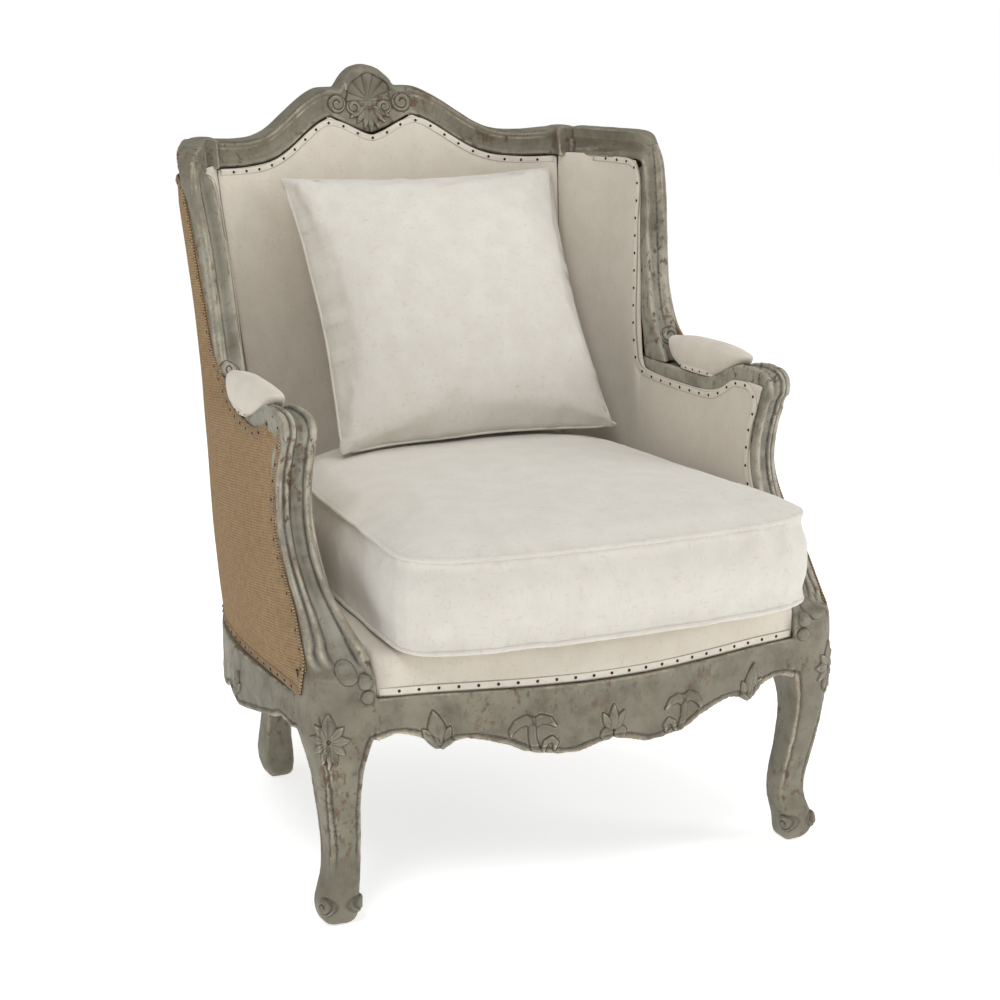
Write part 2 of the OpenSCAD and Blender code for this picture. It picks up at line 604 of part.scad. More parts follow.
// Wing: its upright stands on the arm rail, turns at the top corner and runs to the crest.
// Height share, reach of its face, then depth share and width share of its section
wing_shares = [[0, -0.54, 1.8, 1.13], [0.055, -0.44, 1.58, 1.13], [0.133, -0.28, 1.22, 1.11],
    [0.234, -0.14, 1.06, 1.07], [0.365, -0.01, 1, 1.02], [0.531, 0.09, 1, 1],
    [0.715, 0.18, 1, 1], [0.9, 0.3, 1, 1]];
wing_reach = 100; // distance that a share of 1 stands for
wing_sink_share = 0.89; // how deep in the arm's dip the wing's foot stands
wing_foot_z = arm_top - arm_dip * wing_sink_share + fit_gap;
wing_in_top = 4;
wing_lap = 15;
function wing_width_share(h) = lookup(h, [for (s = wing_shares) [s[0], s[3]]]);
function wing_face_y(h) = wing_y + wing_reach * lookup(h, [for (s = wing_shares) [s[0], s[1]]]);
ear_in = ear_outer - ear_w;
function ear_front_y(z) = back_face_y(ear_outer - ear_w / 2, z) - ear_proud;
wing_top_z = ear_z - crest_h / 2;
wing_bend_z = wing_top_z - wing_corner_r;
wing_bend_share = 0.4;
wing_bend = [arm_in + wing_w / 2 + wing_in_top, wing_y + wing_reach * wing_bend_share,
    wing_bend_z];
// Depth of the top rail's section, seen in plan
wing_top_turn = [0.84, 0.315];
wing_top_in = [wing_d * wing_top_turn[0], wing_d * wing_top_turn[1], 0];
wing_end = [ear_outer - wing_lap,
    ear_front_y(wing_top_z) - 2 * fit_gap - wing_lap * wing_top_in[1] / wing_top_in[0],
    wing_top_z];
wing_run = wing_end - [wing_bend[0], wing_bend[1], wing_top_z];
wing_dir = wing_run / norm(wing_run);
bend_angles = [0, 22.5, 45, 67.5, 90];
top_run_shares = [0.2, 0.5, 0.75, 1];
module wing_rail() color(paint) placed() {
    upright = [for (s = wing_shares)
        let (z = mix(wing_foot_z, wing_bend_z, s[0]), y = wing_y + wing_reach * s[1],
            x = arm_in + wing_w * s[3] / 2 + drawn_x(y, z))
        member_ring([x, y, z], [x, y + wing_d * s[2], z], [wing_w * s[3], 0, 0])];
    corner = [for (a = bend_angles)
        let (turn = a / 90,
            face = wing_bend + wing_corner_r * ((1 - cos(a)) * wing_dir + [0, 0, sin(a)]),
            deep = mix([0, wing_d, 0], wing_top_in, turn),
            wide = mix(wing_w, crest_h, turn))
        member_ring(face, face + deep,
            wide * [cos(a), lean_slope * sin(a), sin(a)])];
    start = wing_bend + wing_corner_r * (wing_dir + [0, 0, 1]);
    top = [for (s = top_run_shares)
        let (face = mix(start, wing_end, s))
        member_ring(face, face + wing_top_in, crest_h * [0, lean_slope, 1])];
    loft(concat(upright, corner, top));
}
module wing_rail_right() wing_rail();
module wing_rail_left() left_side() wing_rail();

// Crest rail: share of the half span, then share of the rise for its upper and lower edge
crest_top_shares = [[0, 1], [0.064, 0.95], [0.113, 0.8], [0.145, 0.645], [0.248, 0.642],
    [0.318, 0.537], [0.389, 0.389], [0.457, 0.232], [0.524, 0.074], [0.592, -0.032],
    [0.662, -0.074], [0.73, -0.079], [0.817, -0.063], [0.884, -0.035]];
crest_under_shares = [[0, 0.358], [0.096, 0.474], [0.174, 0.61], [0.212, 0.674], [0.277, 0.589],
    [0.35, 0.442], [0.434, 0.242], [0.511, 0.095], [0.605, 0], [0.75, -0.025], [0.884, 0], [1, 0]];
crest_x_shares = [0, 0.036, 0.073, 0.109, 0.145, 0.164, 0.196, 0.24, 0.28, 0.32, 0.36, 0.4,
    0.444, 0.49, 0.538, 0.593, 0.67, 0.75, 0.836, 0.924, 1];
crest_moulding_shares = [[0, 1], [0, 0.14], [0.05, 0.03], [0.12, 0], [0.2, 0.08], [0.35, 0.13],
    [0.6, 0.13], [0.76, 0.07], [0.83, 0], [0.92, 0], [0.985, 0.12], [1, 0.3], [1, 0.8],
    [0.96, 1]];
ear_plain_share = 0.2; // relief of the crest's face that an ear doesn't have
function crest_top_z(x) = ear_z + crest_rise * lookup(abs(x) / ear_outer, crest_top_shares);
function crest_under_z(x) = under_z + crest_rise * lookup(abs(x) / ear_outer, crest_under_shares);
function crest_ring(x) = [for (s = crest_moulding_shares)
    let (z = mix(crest_under_z(x), crest_top_z(x), s[0]))
    [x, back_face_y(x, z) + crest_t * s[1], z]];
function ear_ring(x, top) = [for (s = crest_moulding_shares)
    let (z = mix(under_z, top, s[0]), relief = s[1] < ear_plain_share ? 0 : s[1])
    [x, ear_front_y(z) + crest_t * relief, z]];
ear_round = 5;
module crest_rail() color(paint) placed() {
    step = fit_gap * 2;
    half = concat([for (s = crest_x_shares) crest_ring(ear_in * s)],
        [ear_ring(ear_in + step, ear_z - ear_round / 2), ear_ring(ear_in + ear_round, ear_z),
            ear_ring(ear_outer - ear_round, ear_z), ear_ring(ear_outer, ear_z - ear_round)]);
    other = [for (i = [len(half) - 1:-1:1]) [for (p = half[i]) [-p[0], p[1], p[2]]]];
    loft(concat(other, half));
}

// Rails hidden in the upholstery, to which the covers are tacked
stay_h = 24;
stay_t = 18;
stay_lift = 8;
stay_step = 6;
stay_z = knee_top + stay_lift;
side_stay_start = 60;
side_stay_steps = 14;
module side_stay_rail() color(beech) placed() {
    stay_end = post_front_y(stay_z) - 2 * fit_gap;
    ys = [for (i = [0:side_stay_steps]) mix(side_stay_start, stay_end, i / side_stay_steps)];
    mid_z = stay_z + stay_h / 2;
    translate([0, 0, stay_z]) linear_extrude(stay_h) polygon(concat(
        [for (y = ys) [wall_mid_x(y, mid_z) + stay_t / 2, y]],
        [for (i = [side_stay_steps:-1:0]) [wall_mid_x(ys[i], mid_z) - stay_t / 2, ys[i]]]));
}
module side_stay_rail_right() side_stay_rail();
module side_stay_rail_left() left_side() side_stay_rail();
module back_stay_rail() color(beech) placed()
    translate([0, 0, stay_z]) linear_extrude(stay_h)
        polygon(back_band(post_x_at(stay_z) - post_half - fit_gap, stay_z,
            back_pad_t + stay_step, back_pad_t + stay_step + stay_t));

// Corner blocks that brace the seat frame, each held by two screws
block_l = 70;
block_h = 28;
block_lift = 8;
block_z = core_z + block_lift;
screw_r = 2.2;
screw_head_r = 4.2;
screw_head_h = 3;
screw_bite = 14;
side_screw_l = 32;
screw_hole_gap = 0.05;
block_steps = 4;
front_core_back = knee_front + rail_t;
function side_inner_x(y) = rail_side_x(y) - rail_t - fit_gap;
module screw(at, dir, reach, gap) translate(at) rotate(dir) union() {
    translate([0, 0, -gap]) cylinder(r = screw_r + gap, h = reach + 2 * gap, $fn = 20);
    cylinder(r = screw_head_r + gap, h = screw_head_h, $fn = 24);
    if (gap > 0)
        translate([0, 0, -block_l]) cylinder(r = screw_head_r + gap, h = block_l, $fn = 24);
}
module front_block_outline() polygon(concat(
    [[knee_inner - block_l, front_core_back + fit_gap],
        [knee_inner - fit_gap, front_core_back + fit_gap],
        [knee_inner - fit_gap, knee_back + fit_gap]],
    [for (i = [0:block_steps])
        let (y = knee_back + fit_gap + block_l * i / block_steps) [side_inner_x(y), y]]));
screw_share = 0.35;
screw_inset = block_l * screw_share;
screw_z = block_z + block_h / 2;
module front_block_screws(gap) {
    screw([knee_inner - screw_inset, front_core_back + screw_bite, screw_z], [90, 0, 0],
        2 * screw_bite, gap);
    screw([side_inner_x(knee_back) - screw_bite, knee_back + screw_inset, screw_z], [0, 90, 0],
        side_screw_l, gap);
}
rear_block_x = post_x_at(core_z) - post_half - fit_gap;
rear_block_y = side_rail_end;
module rear_block_outline() polygon(concat(
    [for (i = [0:block_steps])
        let (y = rear_block_y - block_l * (1 - i / block_steps)) [side_inner_x(y), y]],
    [[rear_block_x, rear_block_y]],
    [for (i = [0:block_steps])
        let (x = rear_block_x - block_l * i / block_steps)
        [x, back_face_y(x, rail_top) + back_rail_near - fit_gap]]));
module rear_block_screws(gap) {
    x = rear_block_x - screw_inset;
    y = rear_block_y - screw_inset;
    screw([x, back_face_y(x, rail_top) + back_rail_near - screw_bite, screw_z], [-90, 0, 0],
        2 * screw_bite, gap);
    screw([side_inner_x(y) - screw_bite, y, screw_z], [0, 90, 0], side_screw_l, gap);
}
module both_sides() {
    children();
    left_side() children();
}
module corner_blocks() color(beech) placed() both_sides() {
    difference() {
        translate([0, 0, block_z]) linear_extrude(block_h) front_block_outline();
        front_block_screws(screw_hole_gap);
    }
    difference() {
        translate([0, 0, block_z]) linear_extrude(block_h) rear_block_outline();
        rear_block_screws(screw_hole_gap);
    }
}
module corner_block_screws() color(steel) placed() both_sides() {
    front_block_screws(0);
    rear_block_screws(0);
}

// Webbing straps interlaced and tacked under the seat rails
web_gap = 0.2;
web_lap = 16;
web_pitch = 85;
web_first_y = 70;
web_reach = 2; // straps on each side of the middle one
web_slack = 3;
web_clear = 2;
function web_y(j) = web_first_y + web_pitch * (j + web_reach);
module long_strap(x) {
    start = knee_front + rail_t - web_lap;
    end = back_face_y(x, rail_top) + back_rail_near + web_lap;
    translate([x - web_w / 2, start, core_z - web_t]) cube([web_w, end - start, web_t]);
}
module cross_strap(j) {
    end = rail_side_x(web_y(j) + web_w / 2) - rail_face_t - web_clear;
    half = web_w / 2 + web_slack;
    lift = web_t + web_gap;
    path = concat([[-end, 0], [-end + web_lap, 0]],
        [for (i = [-web_reach:web_reach]) for (side = [-half, half])
            [web_pitch * i + side, (i + j) % 2 == 0 ? lift : -lift]],
        [[end - web_lap, 0], [end, 0]]);
    translate([0, web_y(j) + web_w / 2, core_z - web_t]) rotate([90, 0, 0]) linear_extrude(web_w)
        polygon(concat(path, [for (i = [len(path) - 1:-1:0]) [path[i][0], path[i][1] + web_t]]));
}
module seat_webbing() color(jute) placed() for (i = [-web_reach:web_reach]) {
    long_strap(web_pitch * i);
    cross_strap(i);
}

// Waisted coil springs that stand where the straps cross
spring_waist_share = 0.34;
spring_steps = 8; // steps to a turn
spring_base_z = core_z + web_t + 2 * web_gap;
spring_sides = 4;
module seat_spring() {
    steps = spring_turns * spring_steps;
    wire = spring_wire / 2;
    loft([for (i = [0:steps])
        let (a = 360 * i / spring_steps, share = i / steps,
            r = spring_r * (1 - spring_waist_share * sin(180 * share)) - wire,
            z = spring_base_z + mix(wire, spring_h - wire, share))
        [for (q = [0:spring_sides - 1])
            let (turn = 360 * q / spring_sides, reach = r + wire * cos(turn))
            [reach * cos(a), reach * sin(a), z + wire * sin(turn)]]]);
}
module seat_springs() color(steel) placed()
    for (i = [-web_reach, 0, web_reach]) for (j = [-web_reach, 0, web_reach])
        translate([web_pitch * i, web_y(j), 0]) seat_spring();

// Plan of the seat's upholstery, from the middle of its front round to the middle of its back
seat_mid_y = 230;
seat_inset = 5;
seat_on_rail = 12;
seat_edge_gap = 1;
front_plan_shares = [0, 1 / 6, 1 / 3, 1 / 2, 2 / 3, 5 / 6, 1];
side_plan_shares = [0.15, 0.34, 0.53, 0.68, 0.81, 0.91, 0.98];
back_plan_shares = [0.93, 0.62, 0.31, 0];
seat_hem = 3; // how far the platform reaches past the hessian's edge
seat_knee_x = knee_inner - seat_edge_gap;
seat_knee_y = knee_back + seat_edge_gap;
seat_post_share = 1.2;
seat_side_end = post_front_y(rail_top) - post_half * seat_post_share;
seat_back_x = post_x - post_half - seat_inset;
function side_plan_y(s) = mix(seat_knee_y, seat_side_end, s);
function round_plan(half) = concat(half,
    [for (i = [len(half) - 2:-1:1]) [-half[i][0], half[i][1]]]);
function deck_edge() = [for (s = front_plan_shares)
    [seat_knee_x * s, rail_front_y(seat_knee_x * s) + seat_inset]];
function hessian_edge() = [for (s = front_plan_shares)
    [(seat_knee_x - seat_hem) * s, knee_front + rail_face_t + seat_inset]];
function rail_seat_plan(edge, hem) = round_plan(concat(edge,
    [[seat_knee_x - hem, seat_knee_y + hem],
        [side_inner_x(seat_knee_y) + seat_on_rail - hem, seat_knee_y + seat_edge_gap + hem]],
    [for (s = side_plan_shares)
        [side_inner_x(side_plan_y(s)) + seat_on_rail - hem, side_plan_y(s)]],
    [[seat_back_x - hem, post_front_y(rail_top) - seat_inset - hem]],
    [for (s = back_plan_shares) [(seat_back_x - hem) * s,
        back_face_y(seat_back_x * s, rail_top) + back_rail_near + seat_inset - hem]]));
hessian_plan = rail_seat_plan(hessian_edge(), seat_hem);
deck_low_plan = rail_seat_plan(deck_edge(), 0);
deck_back_share = 0.97;
function deck_side_x(y, z) = pad_x(y, z) - side_pad_t - seat_edge_gap;
function deck_plan(z) = round_plan(concat(deck_edge(),
    [[seat_knee_x, seat_knee_y],
        [deck_side_x(seat_knee_y, z), seat_knee_y + seat_edge_gap]],
    [for (s = side_plan_shares)
        let (y = mix(seat_knee_y, inner_end_y(z) - side_pad_t * 2, s)) [deck_side_x(y, z), y]],
    [[seat_back_x, back_face_y(seat_back_x, z) - back_crown]],
    [for (s = back_plan_shares) [seat_back_x * s * deck_back_share,
        back_face_y(seat_back_x * s, z) - back_crown - seat_edge_gap]]));
function seat_ring(plan, k, z) = [for (p = plan) [p[0] * k, mix(seat_mid_y, p[1], k), z]];

// Hessian domed over the springs and tacked on top of the rails
dome_z = spring_base_z + spring_h + fit_gap;
dome_shares = [[0.8, 1], [0.86, 0.86], [0.93, 0.42], [1, 0]];
function dome_rings(up) = [for (s = dome_shares)
    seat_ring(hessian_plan, s[0], mix(rail_top + fit_gap, dome_z, s[1]) + up)];
module spring_hessian() color(jute) placed() {
    low = dome_rings(0);
    high = dome_rings(hessian_t);
    tipped_loft(concat(low, flipped(high)), [0, seat_mid_y, dome_z],
        [0, seat_mid_y, dome_z + hessian_t]);
}

// Stuffed seat platform with an upright border along the front rail
deck_press = 1;
deck_top_z = dome_z + hessian_t + fit_gap + platform_t - deck_press;
deck_shares = [[1, 0.1], [0.998, 0.5], [0.985, 0.76], [0.95, 0.9], [0.86, 0.975], [0.6, 1]];
module seat_platform() color(linen) placed() {
    hem_share = 1 + fit_gap / (seat_mid_y - knee_front);
    shelf_z = knee_top + seat_edge_gap;
    tipped_loft(concat(dome_rings(hessian_t + fit_gap),
        [seat_ring(hessian_plan, hem_share, rail_top + hessian_t + 2 * fit_gap),
            seat_ring(deck_low_plan, 1, rail_top + fit_gap),
            seat_ring(deck_low_plan, 1, shelf_z)],
        [for (s = deck_shares)
            let (z = mix(shelf_z, deck_top_z, s[1])) seat_ring(deck_plan(z), s[0], z)]),
        [0, seat_mid_y, dome_z + hessian_t + fit_gap], [0, seat_mid_y, deck_top_z]);
}

// Thin black cloth under the webbing
dust_inset = 4;
module dust_cover() color(black_cloth) placed() {
    start = knee_back + seat_edge_gap;
    end = post_front_y(core_z) - post_half * seat_post_share;
    plan = concat(
        [[0, knee_front + rail_face_t + dust_inset],
            [seat_knee_x, knee_front + rail_face_t + dust_inset], [seat_knee_x, start]],
        [for (s = side_plan_shares)
            let (y = mix(start, end, s)) [rail_side_x(y) - rail_face_t - dust_inset, y]],
        [[seat_back_x, post_front_y(core_z) - seat_inset]],
        [for (s = back_plan_shares) [seat_back_x * s,
            back_face_y(seat_back_x * s, rail_top) + back_rail_near + web_lap]]);
    translate([0, 0, core_z - 2 * web_t - 2 * web_gap - dust_t]) linear_extrude(dust_t)
        polygon(round_plan(plan));
}

// Padded inside back between the posts, under the crest
pad_lift = 5;
pad_low_z = knee_top + pad_lift;
back_rows = 6;
back_column_shares = [0, 0.109, 0.196, 0.24, 0.32, 0.4, 0.49, 0.593, 0.67, 0.836, 1];
back_top_gap = 3 * fit_gap;
function mirrored_row(v) = concat([for (i = [len(v) - 1:-1:1]) -v[i]], v);
function bulge(u, v) = (1 - pow(abs(u), 3)) * (1 - pow(abs(2 * v - 1), 3));
function inside_back_grid(face) = [for (r = [0:back_rows]) [for (u = mirrored_row(back_column_shares))
    let (v = r / back_rows,
        top = crest_under_z(edge_x(under_z) * u) - back_top_gap,
        z = mix(pad_low_z, top, v), x = (edge_x(z) - fit_gap) * u)
    [x, back_face_y(x, z) + (face ? -back_crown * bulge(u, v) : pad_depth(z)), z]]];
module inside_back_pad() color(linen) placed()
    slab(inside_back_grid(true), inside_back_grid(false));

// Padded inside of an arm and a wing: place along the bottom, then the top edge's y as a share
// of the arm's straight part and its height as a share of the dip below the hand-hold's top
arm_column_shares = [[0, 0.2, 0.6], [0.1, 0.25, 0.59], [0.16, 0.305, 0.6], [0.21, 0.355, 0.66],
    [0.26, 0.41, 1.06], [0.33, 0.477, 1.43], [0.43, 0.586, 1.51], [0.54, 0.723, 1.49],
    [0.64, 0.84, 1.43], [0.7, 0.909, 1.31], [0.735, 0.932, 0.9]];
// Place along the bottom, the top edge's y behind the wing's face, its height above the arm
wing_column_shares = [[0.76, 0.25, 0.12], [0.785, 0.3, 0.28], [0.81, 0.36, 0.46],
    [0.84, 0.45, 0.68], [0.87, 0.55, 0.88], [0.9, 0.74, 0.98], [0.93, 1.12, 1], [0.965, 1.62, 1],
    [1, 2.2, 1]];
wing_column_reach = 100; // distance that a share of 1 stands for
pad_edge_back = 16;
pad_foot_back = 46; // how much further back the padding starts at the support's foot
side_rows = 7;
function arm_column(s) = [s[0], arm_l * s[1], arm_top - arm_dip * s[2]];
function wing_column(s) = [s[0], wing_y + wing_column_reach * s[1],
    mix(arm_top, under_z - fit_gap, s[2])];
function side_columns() = concat([for (s = arm_column_shares) arm_column(s)],
    [for (s = wing_column_shares) wing_column(s)]);
function side_point(col, v, last) =
    let (z = mix(pad_low_z, col[2], v),
        front = arm_line_y(z) + pad_edge_back + pad_foot_back * support_share(z, 4),
        front_line = mix(arm_line_y(pad_low_z) + pad_edge_back, arm_l * arm_column_shares[0][1], v),
        low_y = mix(arm_line_y(pad_low_z) + pad_edge_back, inner_end_y(pad_low_z), col[0]),
        top_y = last ? inner_end_y(z) : col[1],
        y = last ? inner_end_y(z)
            : mix(low_y, top_y, v) + (front - front_line) * pow(1 - col[0], 3))
    [y, z];
function inside_side_grid(face) =
    let (cols = side_columns(), count = len(cols))
    [for (r = [0:side_rows]) [for (c = [0:count - 1])
        let (v = r / side_rows, p = side_point(cols[c], v, c == count - 1),
            thick = mix(pad_edge_t, side_pad_t, bulge(2 * c / (count - 1) - 1, v)),
            x = pad_x(p[0], p[1]))
        [x - (face ? thick : 0), p[0], p[1]]]];
module inside_side_pad() color(linen) placed()
    slab(inside_side_grid(true), inside_side_grid(false));
module inside_side_pad_right() inside_side_pad();
module inside_side_pad_left() left_side() inside_side_pad();

// Burlap outside of an arm and a wing: how far a column keeps to the support's curve, then y
// of its foot as a share of the arm's straight part, y of its top likewise and the top's drop
// below the arm
outer_arm_shares = [[1, -0.03, 0.18, 0.55], [0.86, 0.055, 0.22, 0.2], [0.7, 0.07, 0.265, 0.06],
    [0.5, 0.136, 0.32, 0.5], [0.32, 0.227, 0.38, 1.03], [0.16, 0.341, 0.445, 1.06],
    [0.05, 0.455, 0.536, 0.97], [0, 0.568, 0.632, 0.77], [0, 0.67, 0.707, 0.57],
    [0, 0.75, 0.775, 0.17]];
// Share of the way along the foot from there back to the post, y of the top behind the wing's
// face and its height above the arm
outer_wing_shares = [[0.06, -0.27, 0.05], [0.12, -0.01, 0.17], [0.21, 0.27, 0.445],
    [0.31, 0.54, 0.8], [0.41, 0.66, 0.93], [0.5, 0.82, 0.985], [0.62, 1.2, 1], [0.75, 1.65, 1],
    [0.88, 2, 1], [1, 2.2, 1]];
cover_edge = 6;
outer_rows = 8;
cover_low_z = rail_top + fit_gap;
cover_turn = 2; // columns whose foot stands on the knee block
function outer_columns() =
    let (back = arm_l * outer_arm_shares[len(outer_arm_shares) - 1][1])
    concat([for (s = outer_arm_shares) [s[0], arm_l * s[1], arm_l * s[2], arm_top - arm_dip * s[3]]],
        [for (s = outer_wing_shares) [0, mix(back, post_y_at(rail_top), s[0]),
            wing_y + wing_column_reach * s[1], mix(arm_top, under_z - fit_gap, s[2])]]);
// How far the burlap's front edge stands behind the straight line from its foot to its top
function outer_curve_y(z, v) = arm_line_y(z) + support_turn_y(z) + cover_edge
    - arm_l * mix(outer_arm_shares[0][1], outer_arm_shares[0][2], v);
function outer_point(cols, c, v) =
    let (col = cols[c], last = c == len(cols) - 1,
        z = mix(c < cover_turn ? knee_top + fit_gap : cover_low_z, col[3], v),
        y = last ? post_y_at(z) : mix(col[1], col[2], v) + outer_curve_y(z, v) * col[0])
    [y, z];
function outside_grid(depth) =
    let (cols = outer_columns())
    [for (r = [0:outer_rows]) [for (c = [0:len(cols) - 1])
        let (p = outer_point(cols, c, r / outer_rows))
        [cover_x(p[0], p[1]) - depth, p[0], p[1]]]];
module outside_panel() color(burlap) placed() slab(outside_grid(0), outside_grid(cover_t));
module outside_panel_right() outside_panel();
module outside_panel_left() left_side() outside_panel();

// Burlap outside back, stretched over the back of the posts
function outside_back_grid(depth) = let (
    half = post_top_x + post_top_half,
    row = mirrored_row(concat([for (s = back_column_shares) s * ear_in / half], [1])))
    [for (r = [0:back_rows]) [for (u = row)
    let (v = r / back_rows,
        z = mix(cover_low_z, crest_under_z(half * u) - back_top_gap, v),
        x = (post_x_at(z) + post_half_at(z)) * u,
        post_back = post_y_at(z) + post_deep_at(z) + fit_gap,
        between = back_face_y(x, z) + pad_depth(z) + 2 * post_deep_at(z) + 2 * fit_gap)
    [x, max(post_back, between) + depth, z]]];
module outside_back_panel() color(burlap) placed()
    slab(outside_back_grid(0), outside_back_grid(cover_t));

// Oval pad on an arm: outline, then rings from its underside over its crown
arm_pad_points = 20;
arm_pad_l = arm_l * arm_pad_share;
arm_pad_start_share = 0.359;
arm_pad_start = arm_l * arm_pad_start_share;
arm_pad_power = 0.8;
arm_pad_foot_shares = [[-1, 0.95], [-0.9, 0.84], [-0.75, 0.62], [-0.55, 0.36], [-0.4, 0.14],
    [0, 0], [0.35, 0.06], [0.6, 0.14], [0.78, 0.34], [0.9, 0.66], [1, 0.95]];
arm_pad_ring_shares = [[0.5, 0], [0.85, 0], [1, 0.03], [1.03, 0.2], [0.98, 0.42], [0.84, 0.68],
    [0.56, 0.9]];
arm_pad_lift = 1.7; // clearance over the arm's moulded top
function arm_pad_y(s) = arm_pad_start + arm_pad_l / 2 * (1 + s);
function arm_pad_x(s) = arm_x + drawn_x(arm_pad_y(s), arm_top);
function arm_pad_foot_z(s) =
    arm_top - arm_dip + arm_pad_lift + arm_dip * lookup(s, arm_pad_foot_shares);
function arm_pad_ring(k, up) = [for (i = [0:arm_pad_points - 1])
    let (a = 360 * i / arm_pad_points, s = k * spow(cos(a), arm_pad_power),
        foot = arm_pad_foot_z(min(1, max(-1, s))), crown = arm_top - arm_dip + arm_pad_h)
    [arm_pad_x(s) + arm_pad_w / 2 * k * spow(sin(a), arm_pad_power), arm_pad_y(s),
        foot + (crown - foot) * up + arm_pad_lift * up]];
module arm_pad() color(linen) placed() {
    tipped_loft([for (s = arm_pad_ring_shares) arm_pad_ring(s[0], s[1])],
        [arm_pad_x(0), arm_pad_y(0), arm_pad_foot_z(0)],
        [arm_pad_x(0), arm_pad_y(0), arm_top - arm_dip + arm_pad_h]);
}
module arm_pad_right() arm_pad();
module arm_pad_left() left_side() arm_pad();

// Loose boxed seat cushion: plan from the middle of its front round to the middle of its back
cushion_overhang = 30;
cushion_corner = 66;
cushion_front_y = rail_front_y(0) - cushion_overhang;
cushion_low_z = deck_top_z + fit_gap;
cushion_top_z = cushion_low_z + cushion_side_h;
cushion_front_shares = [[0, 0], [0.25, 0.02], [0.5, 0.08], [0.7, 0.17], [0.83, 0.3], [0.92, 0.5],
    [0.975, 0.75], [1, 1.05]];
cushion_side_shares = [[0.16, 1], [0.24, 0.985], [0.34, 0.968], [0.46, 0.95], [0.58, 0.93],
    [0.68, 0.905], [0.77, 0.87], [0.85, 0.82]];
cushion_back_shares = [[1, 0.055], [0.96, 0.022], [0.85, 0.005], [0.7, 0], [0.5, 0], [0.25, 0],
    [0, 0]];
function cushion_plan() = round_plan(concat(
    [for (s = cushion_front_shares) [cushion_half * s[0], cushion_front_y + cushion_corner * s[1]]],
    [for (s = cushion_side_shares) [cushion_half * s[1], cushion_front_y + cushion_l * s[0]]],
    [for (s = cushion_back_shares)
        let (x = cushion_back_half * s[0])
        [x, cushion_front_y + cushion_l * (1 - s[1]) - back_bow * pow(x / post_top_x, 2)]]));
// Rings: share of the plan, then share of the side's height, piping radii and crown share
cushion_ring_shares = [[0.6, 0, 0, 0], [0.93, 0, 0, 0], [0.985, 0, 0.3, 0], [1, 0, 1, 0],
    [0.99, 0, 1.9, 0], [0.984, 0.1, 1, 0], [0.998, 0.35, 0, 0], [0.996, 0.65, 0, 0],
    [0.97, 0.9, -0.9, 0], [0.972, 1, -1.6, 0], [0.985, 1, -0.8, 0], [0.976, 1, 0.2, 0],
    [0.955, 1, 0.2, 0.1], [0.86, 1, 0, 0.46], [0.66, 1, 0, 0.79], [0.36, 1, 0, 0.96]];
module seat_cushion() color(linen) placed() translate([cushion_shift, 0, 0]) {
    plan = cushion_plan();
    tipped_loft([for (s = cushion_ring_shares) seat_ring(plan, s[0],
        cushion_low_z + cushion_side_h * s[1] + piping_d / 2 * s[2] + cushion_crown * s[3])],
        [0, seat_mid_y, cushion_low_z], [0, seat_mid_y, cushion_top_z + cushion_crown]);
}

// Loose square pillow with pointed corners, leaning on the inside back
pillow_steps = 8; // steps to each half side
pillow_draw_share = 0.06;
pillow_sink_share = 0.7;
pillow_reach_share = 0.504;
pillow_edge_power = 0.6;
pillow_foot_z = cushion_top_z + cushion_crown * pillow_sink_share;
pillow_foot_y = back_face_y(0, pillow_foot_z) - pillow_w * pillow_reach_share;
pillow_power = 2.4;
pillow_seam_t = 4;
function pillow_point(s, t, side) =
    let (half = pillow_w / 2,
        across = half * s * (1 - pillow_draw_share * (1 - t * t)),
        up = half * (1 + t * (1 - pillow_draw_share * (1 - s * s))),
        swell = pow(1 - pow(abs(s), pillow_power), pillow_edge_power)
            * pow(1 - pow(abs(t), pillow_power), pillow_edge_power),
        out = side * mix(pillow_seam_t, pillow_t, swell) / 2)
    [pillow_shift + across,
        pillow_foot_y + up * sin(pillow_lean) - out * cos(pillow_lean),
        pillow_foot_z + up * cos(pillow_lean) + out * sin(pillow_lean)];
function pillow_grid(side) = [for (r = [-pillow_steps:pillow_steps])
    [for (c = [-pillow_steps:pillow_steps])
        pillow_point(sin(90 * c / pillow_steps), sin(90 * r / pillow_steps), side)]];
module back_pillow() color(linen) placed() slab(pillow_grid(1), pillow_grid(-1));

front_leg_left();
front_leg_right();
rear_post_left();
rear_post_right();
front_rail();
side_rail_left();
side_rail_right();
back_rail();
arm_support_left();
arm_support_right();
arm_rail_left();
arm_rail_right();
wing_rail_left();
wing_rail_right();
crest_rail();
back_stay_rail();
side_stay_rail_left();
side_stay_rail_right();
corner_blocks();
corner_block_screws();
seat_webbing();
seat_springs();
spring_hessian();
seat_platform();
dust_cover();
inside_back_pad();
inside_side_pad_left();
inside_side_pad_right();
outside_panel_left();
outside_panel_right();
outside_back_panel();
arm_pad_left();
arm_pad_right();
seat_cushion();
back_pillow();
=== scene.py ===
"""Looks of a wing-back bergere armchair: carved and painted wood, linen inside, burlap outside."""

import contextlib
import math

import bmesh
import bpy
import numpy as np
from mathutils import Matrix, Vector, noise
from mathutils.bvhtree import BVHTree
from mathutils.kdtree import KDTree


